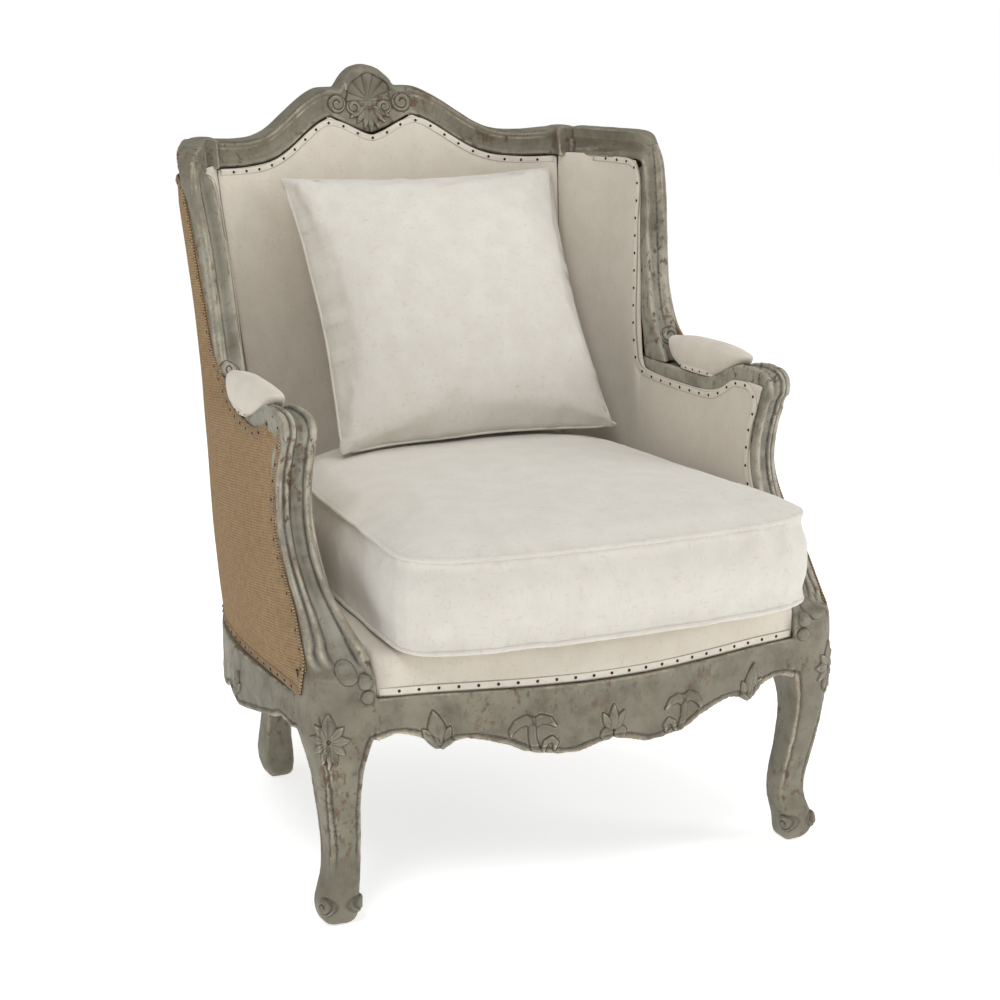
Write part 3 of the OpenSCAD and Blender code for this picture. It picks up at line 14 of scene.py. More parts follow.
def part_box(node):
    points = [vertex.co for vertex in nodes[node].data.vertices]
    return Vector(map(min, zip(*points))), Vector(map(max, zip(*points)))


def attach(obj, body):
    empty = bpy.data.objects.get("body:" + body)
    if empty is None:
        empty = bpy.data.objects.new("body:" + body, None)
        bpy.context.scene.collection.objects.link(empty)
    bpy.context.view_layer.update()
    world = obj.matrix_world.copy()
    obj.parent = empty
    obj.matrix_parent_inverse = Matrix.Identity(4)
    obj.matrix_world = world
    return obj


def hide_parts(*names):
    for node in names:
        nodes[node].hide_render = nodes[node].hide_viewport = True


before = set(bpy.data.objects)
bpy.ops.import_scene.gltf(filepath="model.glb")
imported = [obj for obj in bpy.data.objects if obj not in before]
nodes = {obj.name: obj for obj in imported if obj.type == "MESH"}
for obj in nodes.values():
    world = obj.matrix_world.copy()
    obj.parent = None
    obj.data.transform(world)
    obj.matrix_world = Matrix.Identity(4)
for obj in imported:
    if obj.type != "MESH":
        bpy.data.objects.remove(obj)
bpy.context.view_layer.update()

# Sizes in metres. Y is measured from the front feet, as a maker would, and SETBACK moves it to
# the middle of the chair.
MM = 0.001
SETBACK = 311.6 * MM
RAIL_TOP = 313 * MM
KNEE_TOP = 345 * MM
KNEE_X = 347 * MM
KNEE_HALF = 41 * MM
KNEE_FRONT = -60 * MM
KNEE_INNER = KNEE_X - KNEE_HALF
FRONT_BOW = 53 * MM
SIDE_HALF = 398 * MM
EAR_Z = 960 * MM
UNDER_Z = 915 * MM
EAR_OUTER = 311 * MM
EAR_IN = 275 * MM
CREST_RISE = 95 * MM
BACK_Y = 556 * MM
BACK_BOW = 83 * MM
LEAN = math.tan(math.radians(12.7))
POST_X = 250 * MM
POST_TOP_X = 291 * MM
POST_HALF = 21 * MM
POST_TOP_HALF = 18 * MM
POST_TOP_T = 26 * MM
ARM_IN = 331 * MM
ARM_W = 43 * MM
ARM_TOP = 657 * MM
ARM_DIP = 35 * MM
ARM_TURN = math.tan(math.radians(25))
HAND_H = 45 * MM
WING_Y = 400 * MM
WING_W = 38 * MM
WING_D = 38 * MM
WING_BEND_Z = 897.5 * MM
GAP = 0.3 * MM
WING_FOOT_Z = ARM_TOP - ARM_DIP * 0.89 + GAP
PAD_FOOT_T = 26 * MM
PAD_HEAD_T = 4 * MM
COVER_OUT = 3.3 * MM
SIDES = (("left", -1), ("right", 1))

# Camera: where it stands, what it looks at, its lens, and how near and far it sees
EYE = Vector((-1.2952, -2.5476, 1.2193))
AIM = Vector((-0.1089, 0.0, 0.5369))
LENS_MM = 80.97
SENSOR_MM = 36
NEAREST = 0.05
FURTHEST = 400


def place(x, y, z):
    """A point given from the front feet, in the chair's own frame."""
    return Vector((x, y - SETBACK, z))


def link(name, data):
    thing = bpy.data.objects.new(name, data)
    bpy.context.collection.objects.link(thing)
    return thing


def turned(thing, at, aim):
    """Stands a camera or a lamp at one point and turns it to another."""
    thing.location = at
    thing.rotation_mode = "QUATERNION"
    thing.rotation_quaternion = (aim - at).to_track_quat("-Z", "Y")
    return thing


def camera():
    """The photograph's view."""
    data = bpy.data.cameras.new("camera")
    data.lens = LENS_MM
    data.sensor_width = SENSOR_MM
    data.clip_start = NEAREST
    data.clip_end = FURTHEST
    bpy.context.scene.camera = turned(link("camera", data), place(*EYE), place(*AIM))


camera()


# Curves of the chair, the same as the solids follow

def mix(a, b, s):
    return a + (b - a) * s


def clamp(s):
    return min(1.0, max(0.0, s))


def lookup(value, table):
    """Straight-line reading of a table of pairs."""
    if value <= table[0][0]:
        return table[0][1]
    for (x0, y0), (x1, y1) in zip(table, table[1:]):
        if value <= x1:
            return mix(y0, y1, (value - x0) / (x1 - x0))
    return table[-1][1]


def rise(z):
    """Height on the back, from 0 at the seat rail to 1 under the crest."""
    return (z - RAIL_TOP) / (UNDER_Z - RAIL_TOP)


def back_face_y(x, z):
    return BACK_Y - BACK_BOW * (x / POST_TOP_X) ** 2 + (z - RAIL_TOP) * LEAN


def pad_depth(z):
    return mix(PAD_FOOT_T, PAD_HEAD_T, clamp(rise(z)))


def post_x(z):
    return mix(POST_X, POST_TOP_X, rise(z))


def post_half(z):
    return mix(POST_HALF, POST_TOP_HALF, clamp(rise(z)))


def post_deep(z):
    return mix(POST_HALF, POST_TOP_T / 2, clamp(rise(z)))


def post_front_y(z):
    return back_face_y(post_x(z) - post_half(z), z) + pad_depth(z) + GAP


def post_back_y(z):
    return post_front_y(z) + 2 * post_deep(z)


BOW_FULLNESS = 1.8


def rail_front_y(x):
    return KNEE_FRONT - FRONT_BOW * max(0.0, 1 - (x / KNEE_INNER) ** 2) ** BOW_FULLNESS


# Share of the arm support's height, then how far its front stands from the feet, in tenths of
# a metre, its reach over the knee, its width and its turn
ARM_LINE = [(0, -0.56), (0.07, -0.42), (0.17, -0.15), (0.245, 0.06), (0.357, 0.41),
            (0.469, 0.72), (0.58, 0.89), (0.69, 0.94), (0.8, 0.92), (0.91, 0.83), (1, 0.72),
            (1.12, 0.6)]
SUPPORT_REACH = [(0.003, 1), (0.07, 0.97), (0.12, 0.85), (0.17, 0.62), (0.245, 0.3), (0.357, 0)]
SUPPORT_WIDTH = [(0.003, 1.74), (0.07, 1.71), (0.12, 1.62), (0.17, 1.45), (0.245, 1.22),
                 (0.357, 1.05), (0.469, 1)]
SUPPORT_TURN = [(0.003, 1.1), (0.07, 1.08), (0.12, 1.05), (0.17, 1), (0.69, 1), (0.8, 0.95),
                (0.91, 0.85), (0.997, 0.75)]
TENTH = 0.1


def arm_share(z):
    return (z - KNEE_TOP) / (ARM_TOP - HAND_H - KNEE_TOP)


def arm_line_y(z):
    return TENTH * lookup(arm_share(z), ARM_LINE)


def support_in_x(z):
    return ARM_IN - (ARM_IN - KNEE_INNER) * lookup(arm_share(z), SUPPORT_REACH)


def support_w(z):
    return ARM_W * lookup(arm_share(z), SUPPORT_WIDTH)


def support_turn_y(z):
    return support_w(z) * ARM_TURN * lookup(arm_share(z), SUPPORT_TURN)


# Share of the wing's height, then its face's place and its width
WING_FACE = [(0, -0.54), (0.055, -0.44), (0.133, -0.28), (0.234, -0.14), (0.365, -0.01),
             (0.531, 0.09), (0.715, 0.18), (0.9, 0.3)]
WING_WIDTH = [(0, 1.13), (0.055, 1.13), (0.133, 1.11), (0.234, 1.07), (0.365, 1.02), (0.531, 1)]


def wing_share(z):
    return clamp((z - WING_FOOT_Z) / (WING_BEND_Z - WING_FOOT_Z))


def wing_face_y(z):
    return WING_Y + TENTH * lookup(wing_share(z), WING_FACE)


DRAWN_START = 200 * MM
DRAWN_RUN = 190 * MM
DRAWN_POWER = 1.3
DRAWN_LOW = -10
DRAWN_HIGH = 4
DRAWN_CLIMB = 2.2


def drawn_x(y, z):
    """How far the arm and the wing stand outside the line of the hand-hold."""
    climb = mix(DRAWN_LOW, DRAWN_HIGH, wing_share(z) ** DRAWN_CLIMB)
    return clamp((y - DRAWN_START) / DRAWN_RUN) ** DRAWN_POWER * climb * MM


def frame_out_x(y, z):
    """Outer face of the wood that carries the side cover."""
    if z < WING_FOOT_Z:
        return support_in_x(z) + support_w(z) + drawn_x(y, z) + COVER_OUT
    width = WING_W * lookup(wing_share(z), WING_WIDTH)
    return ARM_IN + width + drawn_x(min(y, wing_face_y(z)), z) + COVER_OUT


# Share of the back's height, then how wide the side covers stand there
OUTER_LEVELS = [(0, 0.983), (0.14, 0.985), (0.24, 0.976), (0.31, 0.967), (0.43, 0.95),
                (0.57, 0.937), (0.7, 0.931), (0.78, 0.933), (0.84, 0.938), (1, 0.943)]
COVER_BEND_Y = 160 * MM
COVER_BEND_SLOPE = 0.5
COVER_PAST_POST = 2.8 * MM
COVER_SWEEP = 2.2
SWEEP = 2.4
SWEEP_FULLNESS = 0.9


def cover_body_x(y, z):
    """The side cover's belly: it swells from the wood, then turns in to the post."""
    start = COVER_BEND_Y + COVER_BEND_SLOPE * (z - RAIL_TOP)
    wood = frame_out_x(y, z)
    most = max(SIDE_HALF * lookup(rise(z), OUTER_LEVELS), wood + GAP)
    if y < start:
        return most - (most - wood) * clamp((start - y) / (start - arm_line_y(z))) ** 2
    end = post_x(z) + post_half(z) + COVER_PAST_POST
    share = clamp((y - start) / (post_front_y(z) + post_deep(z) - start))
    return mix(end, most, (1 - share ** COVER_SWEEP) ** SWEEP_FULLNESS)


def cover_x(y, z):
    """Outer face of the burlap on the right."""
    body = cover_body_x(y, z)
    if z < WING_FOOT_Z:
        return body
    wood = frame_out_x(y, z)
    behind = (y - wing_face_y(z)) / WING_D
    if behind < 1:
        return mix(wood, max(wood, body), clamp(behind) ** 2)
    return mix(max(wood, body), body, clamp(behind - 1))


PAD_BEND_Y = 330 * MM
PAD_BEND_SLOPE = 0.25
PAD_BEHIND_ARM = 0.8 * MM
PAD_EDGE_IN = 14 * MM
PAD_CORNER = 3.3 * MM
PAD_END = 0.3


def pad_x(y, z):
    """Back of the inside padding on the right, where it meets the frame."""
    start = PAD_BEND_Y + PAD_BEND_SLOPE * (z - RAIL_TOP)
    out = ARM_IN - PAD_BEHIND_ARM + drawn_x(y, z)
    if y < start:
        return out
    edge = post_x(z) - PAD_EDGE_IN
    end = back_face_y(edge, z) + pad_depth(z) * PAD_END
    share = clamp((y - start) / (end - start))
    return mix(edge + PAD_CORNER, out, (1 - share ** SWEEP) ** SWEEP_FULLNESS)


# Share of the crest's half width, then of its rise: its upper and its lower edge
CREST_TOP = [(0, 1), (0.064, 0.95), (0.113, 0.8), (0.145, 0.645), (0.248, 0.642), (0.318, 0.537),
             (0.389, 0.389), (0.457, 0.232), (0.524, 0.074), (0.592, -0.032), (0.662, -0.074),
             (0.73, -0.079), (0.817, -0.063), (0.884, -0.035)]
CREST_UNDER = [(0, 0.358), (0.096, 0.474), (0.174, 0.61), (0.212, 0.674), (0.277, 0.589),
               (0.35, 0.442), (0.434, 0.242), (0.511, 0.095), (0.605, 0), (0.75, -0.025),
               (0.884, 0), (1, 0)]


def crest_under_z(x):
    return UNDER_Z + CREST_RISE * lookup(abs(x) / EAR_OUTER, CREST_UNDER)


# Building blocks

@contextlib.contextmanager
def opened(mesh):
    """Opens a mesh for editing, and writes it back at the end."""
    bm = bmesh.new()
    bm.from_mesh(mesh)
    yield bm
    bm.to_mesh(mesh)
    bm.free()


def mesh_piece(name, points, faces, material, body="frame"):
    """A smooth piece from points and faces, with its material, on its body."""
    mesh = bpy.data.meshes.new(name)
    mesh.from_pydata([tuple(p) for p in points], [], faces)
    mesh.materials.append(material)
    mesh.polygons.foreach_set("use_smooth", [True] * len(mesh.polygons))
    mesh.update()
    piece = link(name, mesh)
    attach(piece, body)
    return piece


def clean_normals(piece):
    with opened(piece.data) as bm:
        bmesh.ops.remove_doubles(bm, verts=bm.verts, dist=1e-6)
        bmesh.ops.recalc_face_normals(bm, faces=bm.faces)


def modifier(piece, kind, **settings):
    added = piece.modifiers.new(kind.lower(), kind)
    for name, value in settings.items():
        setattr(added, name, value)
    return added


def bake(piece):
    """Turns a piece with its modifiers into a plain mesh."""
    graph = bpy.context.evaluated_depsgraph_get()
    mesh = bpy.data.meshes.new_from_object(piece.evaluated_get(graph), depsgraph=graph)
    old = piece.data
    piece.modifiers.clear()
    piece.data = mesh
    bpy.data.meshes.remove(old)
    mesh.polygons.foreach_set("use_smooth", [True] * len(mesh.polygons))
    return piece


def push_out(piece, amount):
    """Moves each point along its normal by what amount says of its place and its normal."""
    normals = [v.normal.copy() for v in piece.data.vertices]
    for vertex, normal in zip(piece.data.vertices, normals):
        vertex.co += normal * amount(vertex.co, normal)
    piece.data.update()


def even_out(bm, points, passes):
    """Draws points towards their neighbours."""
    for _ in range(passes):
        bmesh.ops.smooth_vert(bm, verts=points, factor=0.5, use_axis_x=True, use_axis_y=True,
                              use_axis_z=True)


def copy_of(node, name):
    """A merged copy of a CAD solid, with its triangles joined to quads where they are flat."""
    piece = link(name, nodes[node].data.copy())
    with opened(piece.data) as bm:
        bmesh.ops.remove_doubles(bm, verts=bm.verts, dist=1e-5)
        bmesh.ops.join_triangles(bm, faces=bm.faces, angle_face_threshold=0.7,
                                 angle_shape_threshold=0.8)
    return piece


def smooth_points(points, steps):
    """A Catmull-Rom curve through points, with steps between neighbours."""
    line = []
    count = len(points)
    for i in range(count - 1):
        p0 = points[max(i - 1, 0)]
        p1 = points[i]
        p2 = points[i + 1]
        p3 = points[min(i + 2, count - 1)]
        for k in range(steps):
            t = k / steps
            line.append(0.5 * ((2 * p1) + (p2 - p0) * t + (2 * p0 - 5 * p1 + 4 * p2 - p3) * t * t
                               + (3 * p1 - p0 - 3 * p2 + p3) * t ** 3))
    line.append(points[-1].copy())
    return line


def evenly(points, spacing):
    """Points at an even spacing along a line of points."""
    lengths = [0.0]
    for a, b in zip(points, points[1:]):
        lengths.append(lengths[-1] + (b - a).length)
    count = max(1, round(lengths[-1] / spacing))
    found = []
    k = 0
    for i in range(count + 1):
        want = lengths[-1] * i / count
        while k < len(points) - 2 and lengths[k + 1] < want:
            k += 1
        span = lengths[k + 1] - lengths[k]
        share = (want - lengths[k]) / span if span > 0 else 0
        found.append(points[k].lerp(points[k + 1], min(1, share)))
    return found


CREASE = "crease_edge"
CREASE_FIRMNESS = 0.75


def crease_sharp(mesh, degrees):
    """Marks a mesh's sharper edges, so that subdividing keeps them fairly crisp."""
    with opened(mesh) as bm:
        layer = bm.edges.layers.float.get(CREASE) or bm.edges.layers.float.new(CREASE)
        for edge in bm.edges:
            if len(edge.link_faces) == 2 and edge.calc_face_angle(0) > math.radians(degrees):
                edge[layer] = CREASE_FIRMNESS


def subdivide(piece, levels):
    modifier(piece, "SUBSURF", levels=levels, render_levels=levels)


# Finishes

class Nodes:
    """A tree of nodes, whose inputs take numbers, colours or other nodes' outputs."""

    def __init__(self, tree):
        self.tree = tree

    def feed(self, socket, value):
        if isinstance(value, bpy.types.NodeSocket):
            self.tree.links.new(value, socket)
        elif socket.type == "RGBA":
            socket.default_value = (*value, 1.0)
        else:
            socket.default_value = value

    def node(self, kind, inputs=(), **settings):
        added = self.tree.nodes.new(kind)
        for name, value in settings.items():
            setattr(added, name, value)
        for key, value in dict(inputs).items():
            self.feed(added.inputs[key], value)
        return added


class Finish(Nodes):
    """A material, with the few kinds of node that its looks are made of."""

    def __init__(self, name):
        self.material = bpy.data.materials.new(name)
        self.material.use_nodes = True
        super().__init__(self.material.node_tree)
        self.shader = self.tree.nodes["Principled BSDF"]

    def set(self, colour, roughness, **others):
        """Feeds the shader; others are its inputs, with _ for a space."""
        self.feed(self.shader.inputs["Base Color"], colour)
        self.feed(self.shader.inputs["Roughness"], roughness)
        for name, value in others.items():
            self.feed(self.shader.inputs[name.replace("_", " ")], value)

    def axes(self, source="Object"):
        at = self.node("ShaderNodeTexCoord").outputs[source]
        return self.node("ShaderNodeSeparateXYZ", {"Vector": at}).outputs

    def attribute(self, name):
        return self.node("ShaderNodeAttribute", attribute_name=name).outputs["Fac"]

    def noise(self, scale, detail=3.0, stretch=(1, 1, 1), roughness=0.5, source="Object",
              turn=(0, 0, 0)):
        """Noise on the piece's own coordinates, stretched and turned."""
        at = self.node("ShaderNodeTexCoord").outputs[source]
        mapped = self.node("ShaderNodeMapping", {"Vector": at, "Scale": stretch, "Rotation": turn})
        inputs = {"Vector": mapped.outputs[0], "Scale": scale, "Detail": detail,
                  "Roughness": roughness}
        return self.node("ShaderNodeTexNoise", inputs).outputs["Fac"]

    def ramp(self, value, low, high, out_low=0.0, out_high=1.0):
        inputs = {"Value": value, "From Min": low, "From Max": high, "To Min": out_low,
                  "To Max": out_high}
        return self.node("ShaderNodeMapRange", inputs).outputs["Result"]

    def maths(self, operation, a, b=0.0):
        return self.node("ShaderNodeMath", {0: a, 1: b}, operation=operation).outputs[0]

    def times(self, a, b):
        return self.maths("MULTIPLY", a, b)

    def plus(self, a, b):
        return self.maths("ADD", a, b)

    def waves(self, value, pitch):
        return self.maths("SINE", self.times(value, 2 * math.pi / pitch))

    def blend(self, share, a, b):
        """One colour over another, by a share."""
        return self.node("ShaderNodeMix", {0: share, 6: a, 7: b}, data_type="RGBA").outputs[2]

    def bump(self, height, strength, distance):
        inputs = {"Strength": strength, "Distance": distance, "Height": height}
        self.feed(self.shader.inputs["Normal"], self.node("ShaderNodeBump", inputs).outputs[0])


PAINT = (0.145, 0.130, 0.087)
PAINT_LIGHT = (0.212, 0.193, 0.135)
PAINT_OLIVE = (0.103, 0.088, 0.054)
# Blue-grey of a lighter band at middle heights: partly painted light, partly a cooler paint tone
BLUE_GREY_AND_PAINTED_LIGHT = (0.385, 0.372, 0.305)
# Cream of the painted highlights on ridges, and of worn paint on them
RIDGE_HIGHLIGHT_AND_WEAR = (0.55, 0.49, 0.375)
BARE_WOOD = (0.135, 0.078, 0.046)
RUBBED = (0.27, 0.175, 0.105)
# Dark brown of the painted shade in hollows and grooves, and of random dirty patches
GRIME_AND_PAINTED_SHADE = (0.040, 0.032, 0.023)


def distressed_paint(f):
    """Worn paint: soft patches of tone, a lighter bluer band at middle heights that is partly painted
    light, painted shade in the hollows and grooves, painted highlights and rubbed wear on the arrises,
    flaked spots.
    """
    height = f.axes()[2]
    # At middle heights the paint is made lighter and bluer in patches: painted light on the arms and
    # wings, with a cooler paint tone
    upper = f.times(f.ramp(height, 0.29, 0.42, 0.12, 1.0), f.ramp(height, 0.72, 0.93, 1.0, 0.12))
    patches = f.ramp(f.noise(9, 4), 0.35, 0.65)
    lighter_band_patches = f.ramp(f.noise(5, 3, turn=(0.4, 0.7, 0.2)), 0.3, 0.55, 0.25, 0.9)
    olive = f.ramp(f.noise(20, 5, roughness=0.6, turn=(0.9, 0.3, 0.5)), 0.46, 0.72)
    tone = f.blend(patches, PAINT, PAINT_LIGHT)
    tone = f.blend(f.times(lighter_band_patches, upper), tone, BLUE_GREY_AND_PAINTED_LIGHT)
    tone = f.blend(f.times(olive, 0.7), tone, PAINT_OLIVE)
    shape = f.node("ShaderNodeNewGeometry").outputs["Pointiness"]
    # Concave places, read from the mesh's curvature, are painted darker as shade
    hollow_shade = f.ramp(shape, 0.495, 0.445)
    broken = f.ramp(f.noise(60, 4, roughness=0.65), 0.3, 0.6, 0.5, 1.0)
    tone = f.blend(f.times(hollow_shade, broken), tone, GRIME_AND_PAINTED_SHADE)
    # Ridges and sharp arrises get cream patches of painted highlight with worn paint, then rubbed
    # brown wear
    arris = f.maths("MAXIMUM", f.ramp(shape, 0.515, 0.56), f.attribute("carved_ridge"))
    rub = f.ramp(f.noise(42, 4, roughness=0.7, turn=(0.3, 0.1, 0.6)), 0.53, 0.66)
    highlight_patches = f.ramp(f.noise(26, 5, (1, 1, 0.45), 0.65, turn=(0.0, 0.2, 0.0)), 0.40, 0.62)
    tone = f.blend(f.times(arris, highlight_patches), tone, RIDGE_HIGHLIGHT_AND_WEAR)
    tone = f.blend(f.times(arris, rub), tone, RUBBED)
    where = f.ramp(f.noise(11, 3, turn=(0.2, 0.1, 0.9)), 0.45, 0.58)
    fleck = f.ramp(f.noise(105, 4, (1, 1, 0.6), 0.62), 0.54, 0.63)
    small = f.ramp(f.noise(260, 2, (1, 1, 0.5)), 0.665, 0.72)
    flaked = f.maths("MAXIMUM", f.times(where, fleck), f.times(small, 0.5))
    tone = f.blend(flaked, tone, BARE_WOOD)
    # Grooves, seams and the foot of each carving are painted darker as shade, together with random
    # dirty patches
    lines = f.times(f.attribute("carved_line_shade"), broken)
    smoky = f.times(f.ramp(f.noise(34, 5, roughness=0.7), 0.5, 0.75), 0.45)
    line_shade_and_dirt = f.maths("MAXIMUM", f.times(lines, 0.92), smoky)
    f.set(f.blend(line_shade_and_dirt, tone, GRIME_AND_PAINTED_SHADE), f.ramp(f.noise(40, 3), 0.3, 0.7, 0.48, 0.7))
    brush = f.noise(90, 3, (1, 1, 0.12))
    f.bump(f.maths("SUBTRACT", f.times(brush, 0.5), flaked), 0.7, 0.0009)


def plain_beech(f):
    grain = f.ramp(f.noise(30, 5, (1, 0.08, 1)), 0.35, 0.65)
    f.set(f.blend(grain, (0.50, 0.34, 0.20), (0.64, 0.48, 0.31)), 0.6)
    f.bump(grain, 0.3, 0.0005)


def weave(f, pitch, source="Object", waver=6.0):
    """Plain weave from two sets of threads that cross, readable on faces turned any way."""
    x, y, z = f.axes(source)
    wobble = f.times(f.noise(0.06 / pitch, 2, source=source), waver)
    sets = []
    for thread in (x, y):
        flat = f.plus(thread, z) if source == "Object" else thread
        sets.append(f.maths("SINE", f.plus(f.times(flat, 2 * math.pi / pitch), wobble)))
    return f.times(*sets)


LINEN = (0.665, 0.610, 0.520)
LINEN_SHADE = (0.630, 0.573, 0.484)
LINEN_SLUB = (0.40, 0.325, 0.235)
COVER_LINEN = (0.675, 0.645, 0.583)
COVER_SHADE = (0.640, 0.607, 0.543)


def linen(f, light=LINEN, shade=LINEN_SHADE, sheen=0.25):
    """Off-white linen with soft mottling, small darker slubs and a fine weave."""
    tone = f.blend(f.ramp(f.noise(30, 5), 0.35, 0.65), light, shade)
    long_slubs = f.ramp(f.noise(210, 3, (0.35, 1, 1), 0.6), 0.60, 0.72)
    short_slubs = f.ramp(f.noise(240, 3, (1, 1, 0.35), 0.6), 0.60, 0.72)
    slubs = f.maths("MAXIMUM", long_slubs, short_slubs)
    flecks = f.ramp(f.noise(420, 1), 0.735, 0.78)
    tone = f.blend(f.times(slubs, 0.25), tone, LINEN_SLUB)
    f.set(f.blend(f.times(flecks, 0.5), tone, LINEN_SLUB), 0.92, Sheen_Weight=sheen,
          Sheen_Roughness=0.55, Specular_IOR_Level=0.25)
    f.bump(f.plus(f.times(weave(f, 0.0016), 0.3), f.times(slubs, 0.5)), 0.35, 0.0006)


def linen_cover(f):
    """The lighter linen of the cushion and the pillow."""
    linen(f, COVER_LINEN, COVER_SHADE)


def linen_piping(f):
    linen(f, COVER_LINEN, COVER_SHADE, 0.15)


BURLAP = (0.285, 0.182, 0.092)
BURLAP_LIGHT = (0.49, 0.35, 0.20)
BURLAP_DARK = (0.120, 0.070, 0.034)
BURLAP_PITCH = 0.0036


def burlap(f, source="UV"):
    """Coarse tan burlap whose threads vary in tone and thickness."""
    threads = weave(f, BURLAP_PITCH, source, 2.5)
    warp_tone = f.noise(300, 3, (1, 0.2, 1), source=source)
    weft_tone = f.noise(300, 3, (0.2, 1, 1), source=source)
    tone = f.ramp(f.plus(warp_tone, weft_tone), 0.8, 1.2)
    x, y, _ = f.axes(source)
    rows = f.waves(f.plus(y, f.times(x, 0.12)), BURLAP_PITCH)
    lit = f.ramp(f.plus(threads, rows), -1.2, 1.2)
    fine = f.maths("SUBTRACT", f.plus(f.times(lit, 0.75), f.times(tone, 0.6)), 0.2)
    colour = f.blend(fine, BURLAP, BURLAP_LIGHT)
    holes = f.ramp(threads, -0.1, -0.85)
    woven = f.blend(f.times(holes, 0.75), colour, BURLAP_DARK)
    wide = f.ramp(f.noise(7, 3, source=source), 0.35, 0.7, 0.0, 0.3)
    f.set(f.blend(wide, woven, BURLAP), 0.95, Specular_IOR_Level=0.15)
    f.bump(f.plus(threads, tone), 0.6, 0.0012)


def jute(f):
    burlap(f, "Object")


def linen_tape(f):
    """Woven linen tape with fine ribs across its length, and painted shade darkening its edges."""
    along, across, _ = f.axes("UV")
    ribs = f.waves(along, 0.0013)
    cords = f.waves(across, 0.0024)
    colour = f.blend(f.ramp(f.noise(60, 3), 0.3, 0.7), (0.68, 0.625, 0.535), (0.76, 0.71, 0.62))
    # Painted shade along both edges of the tape
    edge = f.ramp(f.maths("ABSOLUTE", across), 0.0036, 0.0050, 0.0, 0.75)
    f.set(f.blend(edge, colour, (0.30, 0.26, 0.20)), 0.9, Specular_IOR_Level=0.2)
    f.bump(f.plus(f.times(ribs, 0.5), cords), 0.35, 0.0005)


def burlap_braid(f):
    """Folded burlap hem whose threads cross in a herringbone."""
    along, across, _ = f.axes("UV")
    twist = f.waves(f.plus(along, f.maths("ABSOLUTE", across)), 0.0042)
    mottled = f.ramp(f.noise(120, 3), 0.3, 0.7, 0.5, 1.0)
    share = f.times(f.ramp(twist, -1.0, 0.6), mottled)
    f.set(f.blend(share, BURLAP_DARK, BURLAP_LIGHT), 0.95)
    f.bump(twist, 0.6, 0.001)


def dust_cloth(f):
    fibres = f.ramp(f.noise(300, 3), 0.3, 0.7)
    f.set(f.blend(fibres, (0.018, 0.017, 0.016), (0.035, 0.033, 0.03)), 0.95)
    f.bump(fibres, 0.3, 0.0004)


def dark_nail(f):
    tarnish = f.ramp(f.noise(500, 2), 0.4, 0.6)
    f.set(f.blend(tarnish, (0.022, 0.018, 0.014), (0.07, 0.05, 0.035)), 0.42, Metallic=0.85)


def spring_steel(f):
    streak = f.ramp(f.noise(120, 3), 0.3, 0.7)
    f.set(f.blend(streak, (0.28, 0.28, 0.29), (0.42, 0.42, 0.43)), 0.38, Metallic=1.0)


def pale_floor(f):
    tone = f.ramp(f.noise(3, 2), 0.3, 0.7)
    f.set(f.blend(tone, (0.93, 0.93, 0.92), (0.95, 0.95, 0.94)), 0.9, Specular_IOR_Level=0.0,
          Emission_Color=(1, 1, 1), Emission_Strength=0.63)


def material(look):
    """A material that has the name of its look."""
    finish = Finish(look.__name__)
    look(finish)
    return finish.material


PAINTED = material(distressed_paint)
BEECH = material(plain_beech)
LINEN_CLOTH = material(linen)
COVER_CLOTH = material(linen_cover)
PIPING = material(linen_piping)
GIMP = material(linen_tape)
HEM = material(burlap_braid)
BURLAP_CLOTH = material(burlap)
JUTE = material(jute)
BLACK = material(dust_cloth)
NAIL = material(dark_nail)
STEEL = material(spring_steel)

# What a node is covered with where it isn't painted wood
FINISHES = {
    "back_stay_rail": BEECH, "side_stay_rail": BEECH, "corner_blocks": BEECH,
    "corner_block_screws": STEEL, "seat_springs": STEEL, "seat_webbing": JUTE,
    "spring_hessian": JUTE, "dust_cover": BLACK, "outside_panel": BURLAP_CLOTH,
    "outside_back_panel": BURLAP_CLOTH, "seat_platform": LINEN_CLOTH,
    "inside_back_pad": LINEN_CLOTH, "inside_side_pad": LINEN_CLOTH, "arm_pad": LINEN_CLOTH,
    "seat_cushion": COVER_CLOTH, "back_pillow": COVER_CLOTH,
}


def base_name(node):
    return node.removesuffix("_left").removesuffix("_right")


for node_name, solid in nodes.items():
    solid.data.materials.clear()
    solid.data.materials.append(FINISHES.get(base_name(node_name), PAINTED))


# Wood: solids whose joints don't show are joined, and rounded the way hand carving does

WELD_REACH = 1e-5
POST_VOXEL = 2.6 * MM
POST_PASSES = 5
CREST_VOXEL = 2.15 * MM
SEAT_VOXEL = 2.25 * MM
JOINED_PASSES = 3
JOINT_FILL = 0.25 * MM
BLANK_SHARP = 55
LID_INSET = 0.02 * MM
# Marks that the paint reads: painted shade along grooves and carving edges, painted highlight and wear
# along ridges
MARKS = ("carved_line_shade", "carved_ridge")


def rounder(piece, voxel, passes):
    """Modifiers that melt a piece's solids into one and take off its arrises."""
    modifier(piece, "REMESH", mode="VOXEL", voxel_size=voxel, use_smooth_shade=True)
    modifier(piece, "SMOOTH", factor=0.5, iterations=passes)


def joined_wood(name, parts, voxel):
    """One carved piece from several solids; parts gives each node's rounding levels."""
    mesh = bpy.data.meshes.new(name)
    with opened(mesh) as bm:
        for node, levels in parts.items():
            blank = copy_of(node, "blank")
            if levels:
                crease_sharp(blank.data, BLANK_SHARP)
                subdivide(blank, levels)
                bake(blank)
            push_out(blank, lambda at, normal: JOINT_FILL)
            bm.from_mesh(blank.data)
            bpy.data.objects.remove(blank)
    mesh.materials.append(PAINTED)
    piece = link(name, mesh)
    rounder(piece, voxel, JOINED_PASSES)
    bake(piece)
    for mark in MARKS:
        piece.data.attributes.new(mark, "FLOAT", "POINT")
    return piece


